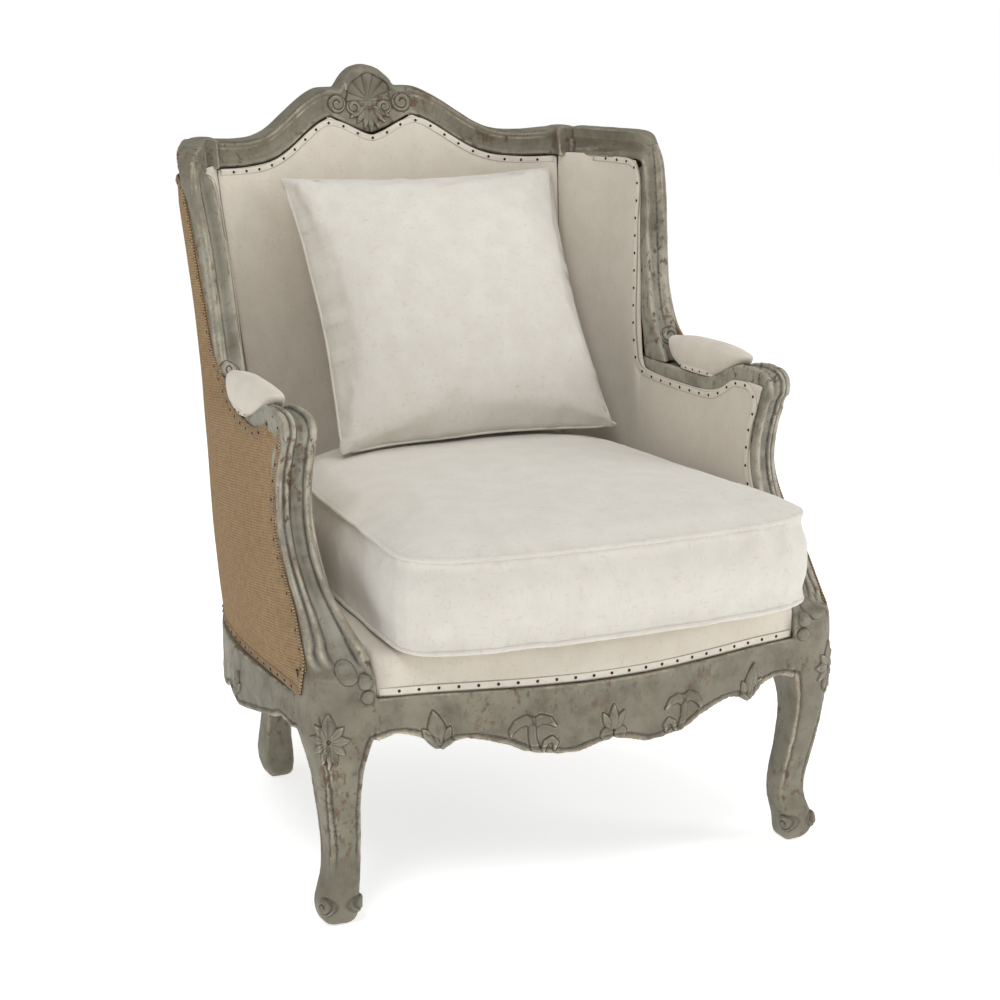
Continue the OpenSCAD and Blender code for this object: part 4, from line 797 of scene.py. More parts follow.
def settle(piece, slot, *parts, body="frame"):
    """Puts a piece on its body and hides the nodes that it stands for; slot is not used."""
    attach(piece, body)
    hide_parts(*parts)
    return piece


def halved(piece, name, s):
    """The half of a piece on one side of the chair's middle, closed where it is cut."""
    half = link(name, piece.data.copy())
    with opened(half.data) as bm:
        cut = bmesh.ops.bisect_plane(bm, geom=bm.verts[:] + bm.edges[:] + bm.faces[:],
                                     plane_co=(0, 0, 0), plane_no=(s, 0, 0), clear_inner=True)
        seam = [e for e in cut["geom_cut"] if isinstance(e, bmesh.types.BMEdge)]
        lids = bmesh.ops.holes_fill(bm, edges=seam, sides=0)["faces"]
        lids = bmesh.ops.split(bm, geom=lids)["geom"]
        for corner in lids:
            if isinstance(corner, bmesh.types.BMVert):
                corner.co.x += s * LID_INSET
        flat = [f for f in lids if isinstance(f, bmesh.types.BMFace)]
        bmesh.ops.triangulate(bm, faces=flat)
    return half


def table_of(piece):
    """Places and normals of a piece's points, as rows of numbers."""
    count = len(piece.data.vertices)
    places = np.empty(count * 3)
    normals = np.empty(count * 3)
    piece.data.vertices.foreach_get("co", places)
    piece.data.vertices.foreach_get("normal", normals)
    return places.reshape(-1, 3), normals.reshape(-1, 3)


def rework(piece, normals, depth, *marks):
    """Moves points along their normals by millimetres, and marks grooves for painted shade and ridges
    for painted highlight and wear.
    """
    places, _ = table_of(piece)
    places += normals * depth[:, None] * MM
    piece.data.vertices.foreach_set("co", places.ravel())
    for attribute, values in zip(MARKS, marks):
        kept = np.empty(len(values))
        piece.data.attributes[attribute].data.foreach_get("value", kept)
        piece.data.attributes[attribute].data.foreach_set("value", np.maximum(kept, values))
    piece.data.update()


def eased(values, start, run):
    """A share that climbs from 0 at start to 1 a run further on."""
    return np.clip((values - start) / run, 0, 1)


def bell(values, width):
    """1 at zero, falling off to both sides over a width."""
    return np.exp(-(values / width) ** 2)


def spans(run, across, counted, step=4 * MM, window=7):
    """Lowest and highest value across a member at each place of its run."""
    slots = np.floor((run - run.min()) / step).astype(int)
    sides = []
    for furthest in (np.fmin, np.fmax):
        side = np.full(slots.max() + 1, np.nan)
        furthest.at(side, slots[counted], across[counted])
        at = run.min() + (np.arange(len(side)) + 0.5) * step
        known = ~np.isnan(side)
        filled = np.pad(np.interp(at, at[known], side[known]), window // 2, mode="edge")
        evened_out = np.convolve(filled, np.ones(window) / window, "valid")
        sides.append(np.interp(run, at, evened_out))
    return sides


FULL_FACE = 0.7
FACE_FROM = 0.25
FACE_RUN = 0.45
GROOVE_SHARE = 0.032
RIDGE_SHARE = 0.035


def mould(piece, chosen, run, across, facing, form, reach):
    """Works a form into a member's face; shares run in from its outer or upper edge."""
    profile, grooves, ridges = form
    _, normals = table_of(piece)
    low, high = spans(run[chosen], across[chosen], facing[chosen] > FULL_FACE)
    share = np.clip((high - across[chosen]) / (high - low), 0, 1)
    force = eased(facing[chosen], FACE_FROM, FACE_RUN) * reach[chosen]
    depth, line, ridge = np.zeros((3, len(normals)))
    depth[chosen] = np.interp(share, *zip(*profile)) * force
    # Grooves are marked for painted shade, ridges for painted highlight and rubbed wear
    line[chosen] = force * np.max([bell(share - g, GROOVE_SHARE) for g in grooves], axis=0)
    ridge[chosen] = force * np.max([bell(share - r, RIDGE_SHARE) for r in ridges], axis=0)
    rework(piece, normals, depth, line, ridge)


# Each form: share of the member's width and how proud the wood stands there in millimetres,
# then the shares of its grooves and of its ridges
SUPPORT_FORM = ([(0, 1.2), (0.07, 1.2), (0.13, 0), (0.17, -1.7), (0.21, 0), (0.28, 1.6),
                 (0.35, 0.3), (0.39, -2), (0.44, -1.3), (0.58, -2), (0.72, -1.3), (0.77, -2),
                 (0.82, 0), (0.9, 1.1), (1, 0)], (0.17, 0.39, 0.77), (0.08, 0.28, 0.9))
WING_FORM = ([(0, 0.6), (0.1, 1.3), (0.22, 1.6), (0.34, 0.9), (0.42, -0.6), (0.46, -1.8),
              (0.51, -1.3), (0.7, -1.7), (0.9, -0.8), (1, 0)], (0.46,), (0.2, 0.41))
CREST_FORM = ([(0, 0), (0.12, 0.9), (0.3, 1.3), (0.45, 0.5), (0.6, -0.7), (0.78, -1.3),
               (0.9, -0.7), (1, 0)], (0.0, 0.99), (0.25,))
HAND_END_Y = 200 * MM - SETBACK
HAND_FADE = 50 * MM
SUPPORT_INNER = 250 * MM
KNEE_PASSES = 22
KNEE_SEAM = 15 * MM
KNEE_SEAM_BACK = 80 * MM - SETBACK
HAND_SEAM = 9 * MM
HAND_SEAM_BACK = 150 * MM - SETBACK
RAIL_SEAM = 20 * MM
LEG_TOP_FROM = 200 * MM
SHELL_HALF = 66 * MM
CREST_FADE = 8 * MM
SUPPORT_FOOT = KNEE_TOP + 2 * MM
SUPPORT_FADE = 14 * MM
WING_FADE = 30 * MM
WING_TOP = EAR_Z - 20 * MM
WING_INNER = EAR_IN + 8 * MM


def knee_blend(piece):
    """Lets each leg's block run smoothly into the arm support above it and the rail behind."""
    places, _ = table_of(piece)
    x, y, z = places.T
    behind = np.abs(y + SETBACK - KNEE_FRONT - 2 * KNEE_HALF)
    over_knee = (np.abs(z - KNEE_TOP) < KNEE_SEAM) & (y < KNEE_SEAM_BACK)
    under_hand = (np.abs(z - ARM_TOP + HAND_H) < HAND_SEAM) & (y < HAND_SEAM_BACK)
    at_rail = ((behind < RAIL_SEAM) & (np.abs(x) > KNEE_X) & (z > LEG_TOP_FROM)
               & (z < KNEE_TOP + KNEE_SEAM))
    with opened(piece.data) as bm:
        bm.verts.ensure_lookup_table()
        near = np.flatnonzero(over_knee | under_hand | at_rail)
        even_out(bm, [bm.verts[i] for i in near], KNEE_PASSES)


def forward_and_up(normals):
    """How much each point faces forward or up, from 0 to 1."""
    return np.hypot(np.minimum(normals[:, 1], 0), np.maximum(normals[:, 2], 0))


def mould_arms(piece):
    """The moulding that runs up each arm support and over the hand-hold."""
    places, normals = table_of(piece)
    x, y, z = places.T
    reach = eased(z, SUPPORT_FOOT, SUPPORT_FADE) * eased(-y, -HAND_END_Y, HAND_FADE)
    for _, s in SIDES:
        chosen = (s * x > SUPPORT_INNER) & (z > KNEE_TOP) & (y < HAND_END_Y)
        mould(piece, chosen, y + z, np.abs(x), forward_and_up(normals), SUPPORT_FORM, reach)


def mould_crest(piece):
    """One moulding up each wing, and one along the crest on both sides of its shell."""
    places, normals = table_of(piece)
    x, y, z = places.T
    reach = eased(z, WING_FOOT_Z + WING_FADE, WING_FADE)
    for _, s in SIDES:
        chosen = (s * x > WING_INNER) & (z < WING_TOP)
        mould(piece, chosen, y + z, np.abs(x), forward_and_up(normals), WING_FORM, reach)
    places, normals = table_of(piece)
    x, y, z = places.T
    reach = (eased(np.abs(x), SHELL_HALF, CREST_FADE)
             * np.clip((EAR_IN - CREST_FADE / 2 - np.abs(x)) / CREST_FADE, 0, 1))
    mould(piece, np.abs(x) < EAR_IN, x, z, -normals[:, 1], CREST_FORM, reach)


DRAWING_CELL = 1.2 * MM
MARGIN_CELLS = 6
CLOSING = 2
DEEPEST = 10


def grown(cells):
    """Cells of a drawing, made one cell larger all round."""
    wide = cells.copy()
    wide[1:] |= cells[:-1]
    wide[:-1] |= cells[1:]
    tall = wide.copy()
    tall[:, 1:] |= wide[:, :-1]
    tall[:, :-1] |= wide[:, 1:]
    return tall


def edge_distance(flat, shown):
    """How far each flat point lies inside the outline of the shown ones, up to 12 mm."""
    low = flat.min(axis=0) - MARGIN_CELLS * DRAWING_CELL
    spots = np.round((flat - low) / DRAWING_CELL).astype(int)
    full = np.zeros(spots.max(axis=0) + MARGIN_CELLS + 2, bool)
    full[tuple(spots[shown].T)] = True
    for _ in range(CLOSING):
        full = grown(full)
    for _ in range(CLOSING):
        full = ~grown(~full)
    depth = np.zeros(full.shape)
    for _ in range(DEEPEST):
        depth += full
        full = ~grown(~full)
    for axis in (0, 1, 0, 1):
        depth = (np.roll(depth, 1, axis) + depth + np.roll(depth, -1, axis)) / 3
    return depth[tuple(spots.T)] * DRAWING_CELL


BEAD_W = 6.5 * MM
BEAD_SHOWN = 0.45
BEAD_TOP = RAIL_TOP - 14 * MM
BEAD_TOP_FADE = 8 * MM
BEAD_FOOT = 70 * MM
BEAD_FOOT_FADE = 30 * MM
BEAD_ROUND = 2.2 * MM
BEAD_PROUD = 0.8
BEAD_LIT = 0.45
GROOVE_W = 1.5 * MM
GROOVE_DEEP = 2.0
SIDE_FROM = 200 * MM


def edge_beads(piece):
    """The bead along the free lower edges of the rails and down the legs, front then sides."""
    for axis, keep in ((1, (0, 2)), (0, (1, 2))):
        places, normals = table_of(piece)
        x, _, z = places.T
        facing = -normals[:, 1] if axis else normals[:, 0] * np.sign(x)
        away = np.zeros(len(places))
        for mine in [slice(None)] if axis else [s * x > SIDE_FROM for _, s in SIDES]:
            away[mine] = edge_distance(places[mine][:, keep], facing[mine] > BEAD_SHOWN)
        force = (eased(facing, 0.4, 0.3) * eased(-z, -BEAD_TOP, BEAD_TOP_FADE)
                 * eased(z, BEAD_FOOT, BEAD_FOOT_FADE))
        groove = bell(away - BEAD_W, GROOVE_W)
        bead = bell(away - BEAD_W / 2, BEAD_ROUND)
        # The groove is marked for painted shade, and the bead's crest for painted highlight and rubbed
        # wear
        rework(piece, normals, force * (bead * BEAD_PROUD - groove * GROOVE_DEEP),
               force * groove, force * bead * BEAD_LIT)


def unevenness(piece):
    """The slight waver that a carver's knife and thick paint leave."""
    def waver(at, normal):
        return (noise.noise(at / (28 * MM)) * 0.45 + noise.noise(at / (9 * MM)) * 0.16) * MM
    push_out(piece, waver)


def surface_of(*pieces):
    """Something that rays can be cast at, from one or more pieces."""
    points = []
    faces = []
    for piece in pieces:
        first = len(points)
        points += [v.co for v in piece.data.vertices]
        faces += [[first + i for i in p.vertices] for p in piece.data.polygons]
    return BVHTree.FromPolygons(points, faces)


CREST_PARTS = {"crest_rail": 1, "wing_rail_left": 1, "wing_rail_right": 1}
SEAT_PARTS = {"front_leg": 1, "side_rail": 0, "arm_support": 1, "arm_rail": 1}


def worked_frame():
    """The crest with its wings, and the seat frame with its arms in two halves."""
    top = joined_wood("crest_and_wings", CREST_PARTS, CREST_VOXEL)
    mould_crest(top)
    unevenness(top)
    settle(top, "painted_wood", *CREST_PARTS)
    parts = {"front_rail": 0}
    for side, _ in SIDES:
        parts.update({"%s_%s" % (part, side): level for part, level in SEAT_PARTS.items()})
    whole = joined_wood("seat_frame", parts, SEAT_VOXEL)
    knee_blend(whole)
    mould_arms(whole)
    edge_beads(whole)
    unevenness(whole)
    halves = []
    for side, s in SIDES:
        mine = [part for part in parts
                if part.endswith(side) or (side == "left" and part == "front_rail")]
        halves.append(settle(halved(whole, "seat_frame_" + side, s), "painted_wood", *mine))
    bpy.data.objects.remove(whole)
    return top, halves


crest, seat_halves = worked_frame()
for node_name in ("rear_post_left", "rear_post_right", "back_rail"):
    modifier(nodes[node_name], "WELD", merge_threshold=WELD_REACH)
    rounder(nodes[node_name], POST_VOXEL, POST_PASSES)
crest_surface = surface_of(crest)
seat_surface = surface_of(*seat_halves)


# Carving: each motif gives how proud the wood stands, in millimetres, over a flat drawing, and where
# the wood is painted darker as shade

DOME_POWER = 4
NOWHERE = -99.0
LEAF_BELLY = 0.75
LEAF_ROUND = 0.8
LEAF_LEAST_HALF = 0.05
LEAF_LEAST = 0.15
VEIN_W = 0.9
VEIN_END = 1.2
SEAM_DEEP = 0.45
SPIRAL_OUTER = 0.98
SPIRAL_INNER = 0.26
SPIRAL_W = 1.15
SPIRAL_DEEP = 1.3
SPIRAL_LEAST = 0.1


def dome(u, v, x, y, radius, height):
    """A flat-topped round boss; outside it, how far away it is, below zero."""
    away = np.hypot(u - x, v - y)
    inside = height * np.sqrt(np.clip(1 - (away / radius) ** DOME_POWER, 0, 1))
    return np.where(away < radius, inside, radius - away)


def stroke(u, v, points, radii, height):
    """A rounded line whose width changes from point to point."""
    best = np.full(u.shape, NOWHERE)
    for (x0, y0), (x1, y1), r0, r1 in zip(points, points[1:], radii, radii[1:]):
        dx, dy = x1 - x0, y1 - y0
        along = np.clip(((u - x0) * dx + (v - y0) * dy) / (dx * dx + dy * dy), 0, 1)
        away = np.hypot(u - x0 - along * dx, v - y0 - along * dy)
        radius = r0 + (r1 - r0) * along
        inside = height * np.sqrt(np.clip(1 - (away / radius) ** 2, 0, 1))
        best = np.maximum(best, np.where(away < radius, inside, radius - away))
    return best


def leaf(u, v, root, tip, width, height, vein=0.6):
    """A pointed leaf with a midrib."""
    dx, dy = tip[0] - root[0], tip[1] - root[1]
    length = math.hypot(dx, dy)
    along = ((u - root[0]) * dx + (v - root[1]) * dy) / length ** 2
    across = ((v - root[1]) * dx - (u - root[0]) * dy) / length
    t = np.clip(along, 0, 1)
    half = width / 2 * np.sin(math.pi * t ** LEAF_BELLY) ** LEAF_ROUND + LEAF_LEAST_HALF
    past = np.hypot(np.abs(along - t) * length, np.maximum(np.abs(across) - half, 0))
    inside = height * np.sqrt(np.clip(1 - (across / half) ** 2, 0, 1))
    inside = inside - vein * bell(across, VEIN_W) * np.clip(VEIN_END - t, 0, 1)
    return np.where(past <= 0, np.maximum(inside, LEAF_LEAST), -past)


def spiral(x, y, outer, inner, start, turns, steps=36):
    """Points of a scroll's line, from its outer end in."""
    points = []
    for i in range(steps + 1):
        share = i / steps
        radius = outer + (inner - outer) * share
        angle = math.radians(start) + 2 * math.pi * turns * share
        points.append((x + radius * math.cos(angle), y + radius * math.sin(angle)))
    return points


def line_share(u, v, points, width):
    """How close the drawing is to an incised line, from 0 to 1."""
    radii = [0.01] * len(points)
    return bell(stroke(u, v, points, radii, 0), width)


def layered(*shapes):
    """Highest of several shapes, and how close each place is to the seam between two, where painted
    shade goes.
    """
    stack = np.sort(np.stack(shapes), axis=0)
    top, second = stack[-1], stack[-2]
    seam = np.where(second > 0, np.clip(1 - (top - second) / SEAM_DEEP, 0, 1), 0.0)
    return top, seam


def volute(u, v, x, y, radius, height, start, turn):
    """A round scroll with its incised spiral and an eye; the spiral is also painted darker as shade.
    """
    body = dome(u, v, x, y, radius, height)
    line = spiral(x, y, radius * SPIRAL_OUTER, radius * SPIRAL_INNER, start, turn)
    cut = line_share(u, v, line, SPIRAL_W)
    worked = np.maximum(body - SPIRAL_DEEP * cut, SPIRAL_LEAST)
    return np.where(body > 0, worked, body), np.where(body > 0, cut, 0)


RIM = 2.4
SKIN = 0.12
SKIN_SUNK = 0.48
SINK = 1.6
BOLD = 1.45
EDGE_SHADE = 0.9
EDGE_SOFTNESS = 1.5
CAST_FROM = 60 * MM
CAST_REACH = 140 * MM


def relief(name, surface, centre, facing, size, motif, flip=1, step=1.0):
    """Raised carving laid on the wood, seen along facing; flip mirrors the drawing."""
    centre = place(*centre)
    facing = Vector(facing).normalized()
    side = Vector((0, 0, 1)).cross(facing).normalized()
    lift = facing.cross(side)
    us, vs = [np.arange(-length / 2, length / 2 + step, step) for length in size]
    u, v = np.meshgrid(us, vs, indexing="ij")
    height, dark = motif(flip * u, v)
    drawn = height > -RIM
    proud = np.where(drawn, np.maximum(height, 0) * BOLD + SKIN, -SKIN_SUNK)
    # The foot of the carving, its seams and its incised lines are painted darker as shade
    outline = np.where(height > 0, 1 - height / EDGE_SHADE, bell(height, EDGE_SOFTNESS))
    dark = np.maximum(dark, np.where(drawn, np.clip(outline, 0, 1), 0))
    used = {}
    pairs = []
    shade = []
    faces = []

    def point(i, j):
        if (i, j) not in used:
            start = centre + side * (us[i] * MM) + lift * (vs[j] * MM) + facing * CAST_FROM
            hit = surface.ray_cast(start, -facing, CAST_REACH)[0]
            used[i, j] = None if hit is None else len(pairs)
            if hit is not None:
                pairs.append((hit + facing * proud[i, j] * MM, hit - facing * SINK * MM))
                shade.append(float(dark[i, j]))
        return used[i, j]

    for i in range(len(us) - 1):
        for j in range(len(vs) - 1):
            if drawn[i:i + 2, j:j + 2].any():
                corners = [point(i, j), point(i + 1, j), point(i + 1, j + 1), point(i, j + 1)]
                if None not in corners:
                    faces.append(corners)
    plate(name, pairs, shade, faces)


def plate(name, pairs, shade, faces):
    """A closed thin piece from pairs of front and back points."""
    count = len(pairs)
    points = [p[0] for p in pairs] + [p[1] for p in pairs]
    skins = faces + [[count + i for i in reversed(f)] for f in faces]
    edges = {}
    for f in faces:
        for a, b in zip(f, f[1:] + f[:1]):
            edges[a, b] = True
    rims = [(b, a, count + a, count + b) for a, b in edges if (b, a) not in edges]
    piece = mesh_piece(name, points, skins + rims, PAINTED)
    mark = piece.data.attributes.new("carved_line_shade", "FLOAT", "POINT")
    mark.data.foreach_set("value", shade + shade)


HUB_V = -14
FAN_REACH = 39
RIM_FOOT = 2
RIM_HALF = 38
RIM_HIGH = 2.6
OUTSIDE = -3.0
CUT_OFF = -9.0


def shell_motif(u, v):
    """Fan with a scalloped edge inside a plain rim, between scrolls, over a palmette."""
    x = u * MM
    top = np.interp(np.abs(x) / EAR_OUTER, *zip(*CREST_TOP)) * CREST_RISE
    outline = (EAR_Z + top - SHELL_Z) / MM - 1.5
    away = np.hypot(u, v - HUB_V)
    angle = np.arctan2(u, v - HUB_V)
    scallop = FAN_REACH + 2.6 * np.abs(np.cos(angle * 3.6)) - 3 * np.abs(angle)
    ribs = np.abs(np.cos(angle * 6.5))
    flutes = 0.5 + 1.5 * ribs * np.clip(away / 30, 0, 1)
    fan = np.where((away < scallop) & (v > HUB_V), flutes, -np.abs(away - scallop))
    rimmed = (away > scallop) & (v < outline) & (v > RIM_FOOT) & (np.abs(u) <= RIM_HALF)
    rim = np.where(rimmed, RIM_HIGH, OUTSIDE)
    # The fan's scalloped edge and the valleys between its flutes are painted darker as shade
    edge = np.where(v > HUB_V, bell(away - scallop, 1.4), 0)
    edge = np.maximum(edge, np.where(fan > 0, 0.75 * np.clip(1 - ribs * 2.4, 0, 1), 0))
    big = [volute(u, v, s * 53, -18, 14.5, 3.6, 90 - s * 60, s * 1.35) for s in (-1, 1)]
    small = [volute(u, v, s * 25, -24, 11.5, 3.2, 90 + s * 50, -s * 1.2) for s in (-1, 1)]
    leaves = [leaf(u, v, (a * 0.12, -24), (a, -66 + abs(a) * 0.75), 11, 2.8)
              for a in (-34, -23, -11.5, 0, 11.5, 23, 34)]
    shapes = [fan, rim] + [b[0] for b in big] + [s[0] for s in small] + leaves
    height, seam = layered(*shapes)
    under = np.interp(np.abs(x) / EAR_OUTER, *zip(*CREST_UNDER)) * CREST_RISE
    height = np.where(v < (UNDER_Z + under - SHELL_Z) / MM + 1.0, CUT_OFF, height)
    height = np.where(v > outline, CUT_OFF, height)
    cuts = np.maximum.reduce([b[1] for b in big + small])
    return height, np.maximum.reduce([seam, cuts, np.where(height > 0, edge, 0)])


def bud_motif(u, v):
    """Three petals over two berries."""
    return layered(leaf(u, v, (0, -6), (0, 20), 10, 2.8), leaf(u, v, (-2, -7), (-12, 12), 9, 2.4),
                   leaf(u, v, (2, -7), (12, 12), 9, 2.4), dome(u, v, -7.5, -11, 7, 3.0),
                   dome(u, v, 7.5, -11, 7, 3.0))


def scroll_motif(u, v):
    """A stem that rises from the edge and parts into two curled leaves, with a small curl."""
    stem = stroke(u, v, [(10, -21), (4, -14), (1, -4), (0, 8), (1, 15)], [4, 4.4, 3.8, 3.6, 4.5], 2.6)
    near = stroke(u, v, [(2, 13), (-6, 17), (-14, 14), (-20, 7), (-21, 2)], [4.5, 5, 4.6, 3, 1.2], 2.6)
    far = stroke(u, v, [(2, 13), (9, 17), (17, 15), (24, 9)], [4.5, 4.6, 4, 1.2], 2.6)
    curl = stroke(u, v, [(11, -15), (14, -7), (20, -4), (24, -8), (23, -14)],
                  [2.2, 2.8, 3, 2.8, 1.8], 2.2)
    foot = stroke(u, v, [(8, -20), (18, -22), (30, -22.5)], [3.2, 3, 2], 2.0)
    return layered(stem, near, far, curl, foot)


def apron_leaf_motif(u, v):
    """A leaf with three lobes over a berry at the apron's point."""
    return layered(leaf(u, v, (2, -12), (-4, 19), 15, 2.8), leaf(u, v, (0, -12), (-13, 3), 10, 2.4),
                   leaf(u, v, (3, -12), (11, 4), 10, 2.4), dome(u, v, 9, -13, 6.5, 3.0))


def knee_motif(u, v):
    """A spray of ten leaves round a middle."""
    tips = [(0, 38, 19), (-19, 21, 13), (19, 21, 13), (-27, 3, 14), (27, 3, 14), (-20, -16, 13),
            (20, -16, 13), (-9, -31, 12), (9, -31, 12), (0, -38, 11)]
    return layered(*[leaf(u, v, (x * 0.1, y * 0.1), (x, y), width, 2.6) for x, y, width in tips])


def larger(motif, times):
    def drawn(u, v):
        return motif(u / times, v / times)
    return drawn


def button(radius):
    def motif(u, v):
        body = dome(u, v, 0, 0, radius, 3.4)
        # A faint ring of painted shade near the button's edge
        ring = bell(np.hypot(u, v) - radius * 0.78, 0.9) * 0.3
        return body, np.where(body > 0, ring, 0)
    return motif


def scroll_disc(radius, turn):
    def motif(u, v):
        return volute(u, v, 0, 0, radius, 3.4, SCROLL_START, turn)
    return motif


FRONT = Vector((0, -1, 0))
SHELL_Z = 1015 * MM
SHELL_LEAN = LEAN * 0.4
SCROLL_TURNS = 1.2
SCROLL_START = 90
WING_SCROLL_IN = 14 * MM
WING_SCROLL_Z = 664 * MM


def carvings():
    """Each row: name, middle, facing, size of the drawing, motif, which way it is drawn, step."""
    relief("crest_shell", crest_surface, (0, back_face_y(0, SHELL_Z), SHELL_Z),
           (0, -1, SHELL_LEAN), (150, 150), shell_motif, step=0.9)
    relief("apron_bud", seat_surface, (0, -0.112, 0.255), FRONT, (46, 60),
           larger(bud_motif, 1.3), step=0.8)
    all_wood = surface_of(crest, *seat_halves)
    wing_scroll = (ARM_IN + WING_SCROLL_IN, wing_face_y(0.66), WING_SCROLL_Z)
    knee = (0.12, -1, 0.05)
    for side, s in SIDES:
        turn = s * SCROLL_TURNS
        for name, (x, y, z), (ahead, back, up), size, motif, flip, step in (
                ("apron_scroll_", (0.111, -0.1, 0.249), (0.12, -1, 0), (94, 74),
                 larger(scroll_motif, 1.32), -s, 0.9),
                ("apron_leaf_", (0.23, -0.075, 0.264), (0.1, -1, 0), (54, 74),
                 larger(apron_leaf_motif, 1.5), -s, 0.8),
                ("knee_leaf_", (0.365, -0.045, 0.262), (0.62, -0.78, 0), (62, 84),
                 knee_motif, -s, 0.9),
                ("side_leaf_", (0.39, 0.215, 0.266), (1, 0, 0), (36, 50), apron_leaf_motif, s, 0.9),
                ("knee_button_1_", (0.341, -0.05, 0.348), knee, (30, 30), button(12.5), 1, 0.8),
                ("knee_button_2_", (0.320, -0.05, 0.337), knee, (30, 30), button(9.5), 1, 0.8),
                ("knee_button_3_", (0.318, -0.055, 0.318), knee, (30, 30), button(8.8), 1, 0.8),
                ("toe_scroll_out_", (0.36, -0.02, 0.03), (1, -0.35, 0), (30, 34),
                 scroll_disc(12, turn), 1, 0.8),
                ("toe_scroll_in_", (0.335, -0.02, 0.03), (-1, -0.35, 0), (30, 34),
                 scroll_disc(12, -turn), 1, 0.8),
                ("wing_scroll_", wing_scroll, (-0.25, -1, 0.35), (34, 34),
                 scroll_disc(13.5, turn), 1, 0.8)):
            wood = all_wood if name == "wing_scroll_" else seat_surface
            relief(name + side, wood, (s * x, y, z), (s * ahead, back, up), size, motif, flip, step)


carvings()


# Upholstery: each soft solid gives way to a piece with rounded forms and slack cloth

PAD_SHARP = 35
SLACK = 0.6 * MM
COVER_SLACK = 0.5 * MM
ARM_PAD_SLACK = 0.3 * MM
SLACK_SIZE = 60 * MM
TUCK = 4.9 * MM
TUCK_REACH = 55 * MM
TUCK_TOP = 40 * MM
TUCK_TOP_SHARE = 0.8
TUCK_POWER = 0.8
TIP_SHIFT = 36 * MM
TIP_TOP = KNEE_TOP + 6 * MM
TIP_FADE = 16 * MM
TIP_RUN = [(-18 * MM, 0), (22 * MM, 1), (120 * MM, 0)]
TIP_FRONT = 70 * MM
TIP_OUT = KNEE_X + KNEE_HALF + 2.5 * MM
PUFF_PASSES = 18
PUFF_SIDE = 2.5 * MM
PUFF_TOP = 6.5 * MM


def ruffle(piece, depth, size, seed):
    """Moves each point along its normal by smooth noise, as slack cloth does."""
    offset = Vector((seed * 3.1, seed * 1.7, seed * 2.3))
    push_out(piece, lambda at, normal: depth * noise.noise(at / size + offset))


def tuck(piece, s):
    """Draws a side cover in along its front and top edges, so that it starts behind the wood."""
    for vertex in piece.data.vertices:
        y = vertex.co.y + SETBACK
        z = vertex.co.z
        start = wing_face_y(z) if z > WING_FOOT_Z else arm_line_y(z) + support_turn_y(z)
        near = 1 - clamp((y - start) / TUCK_REACH)
        high = clamp((z - UNDER_Z + TUCK_TOP) / TUCK_TOP)
        vertex.co.x -= s * TUCK * max(near, high * TUCK_TOP_SHARE) ** TUCK_POWER
        low = clamp((TIP_TOP - z) / TIP_FADE)
        share = low * lookup(y, TIP_RUN)
        vertex.co.y -= TIP_SHIFT * share
        if y < TIP_FRONT:
            vertex.co.x = mix(vertex.co.x, TIP_OUT * s, share)
    piece.data.update()


SPREAD_FORWARD = 8 * MM
SPREAD_UP = 5 * MM
SPREAD_FADE_Z = 40 * MM
SPREAD_FADE_Y = 50 * MM
SPREAD_FULL_Y = 30 * MM
SPREAD_TOP = 45 * MM
CORNER_Y = 455 * MM
CORNER_Z = 900 * MM
CORNER_REACH = 55 * MM
CORNER_FORWARD = 6 * MM
CORNER_UP = 4 * MM


def spread_by(y, z):
    """How far the wing part of an inside cover moves forward and up to meet the wood."""
    lifted = clamp((z - WING_FOOT_Z) / SPREAD_FADE_Z)
    near = clamp(1 - (y - wing_face_y(z) - SPREAD_FULL_Y) / SPREAD_FADE_Y)
    top = clamp((z - UNDER_Z + SPREAD_TOP) / SPREAD_TOP)
    corner = clamp(1 - math.hypot(y - CORNER_Y, z - CORNER_Z) / CORNER_REACH)
    return (SPREAD_FORWARD * lifted * near + CORNER_FORWARD * corner,
            SPREAD_UP * top + CORNER_UP * corner)


def spread(piece):
    """Moves an inside cover's wing part out to the wood."""
    for vertex in piece.data.vertices:
        forward, up = spread_by(vertex.co.y + SETBACK, vertex.co.z)
        vertex.co.y -= forward
        vertex.co.z += up
    piece.data.update()


def puff(piece):
    """Rounds a pad's tips, then fills it out and up."""
    with opened(piece.data) as bm:
        even_out(bm, bm.verts, PUFF_PASSES)
    push_out(piece, lambda at, normal: mix(PUFF_SIDE, PUFF_TOP, clamp(normal.z)))


def soft_copy(node, name, cloth, slot, seed, shape=None, slack=SLACK, levels=2):
    """A pad or cover with rounded forms, in a solid's place; shape forms it further."""
    piece = copy_of(node, name)
    piece.data.materials.clear()
    piece.data.materials.append(cloth)
    crease_sharp(piece.data, PAD_SHARP)
    subdivide(piece, levels)
    bake(piece)
    ruffle(piece, slack, SLACK_SIZE, seed)
    settle(piece, slot, node)
    if shape:
        shape(piece)
    return piece


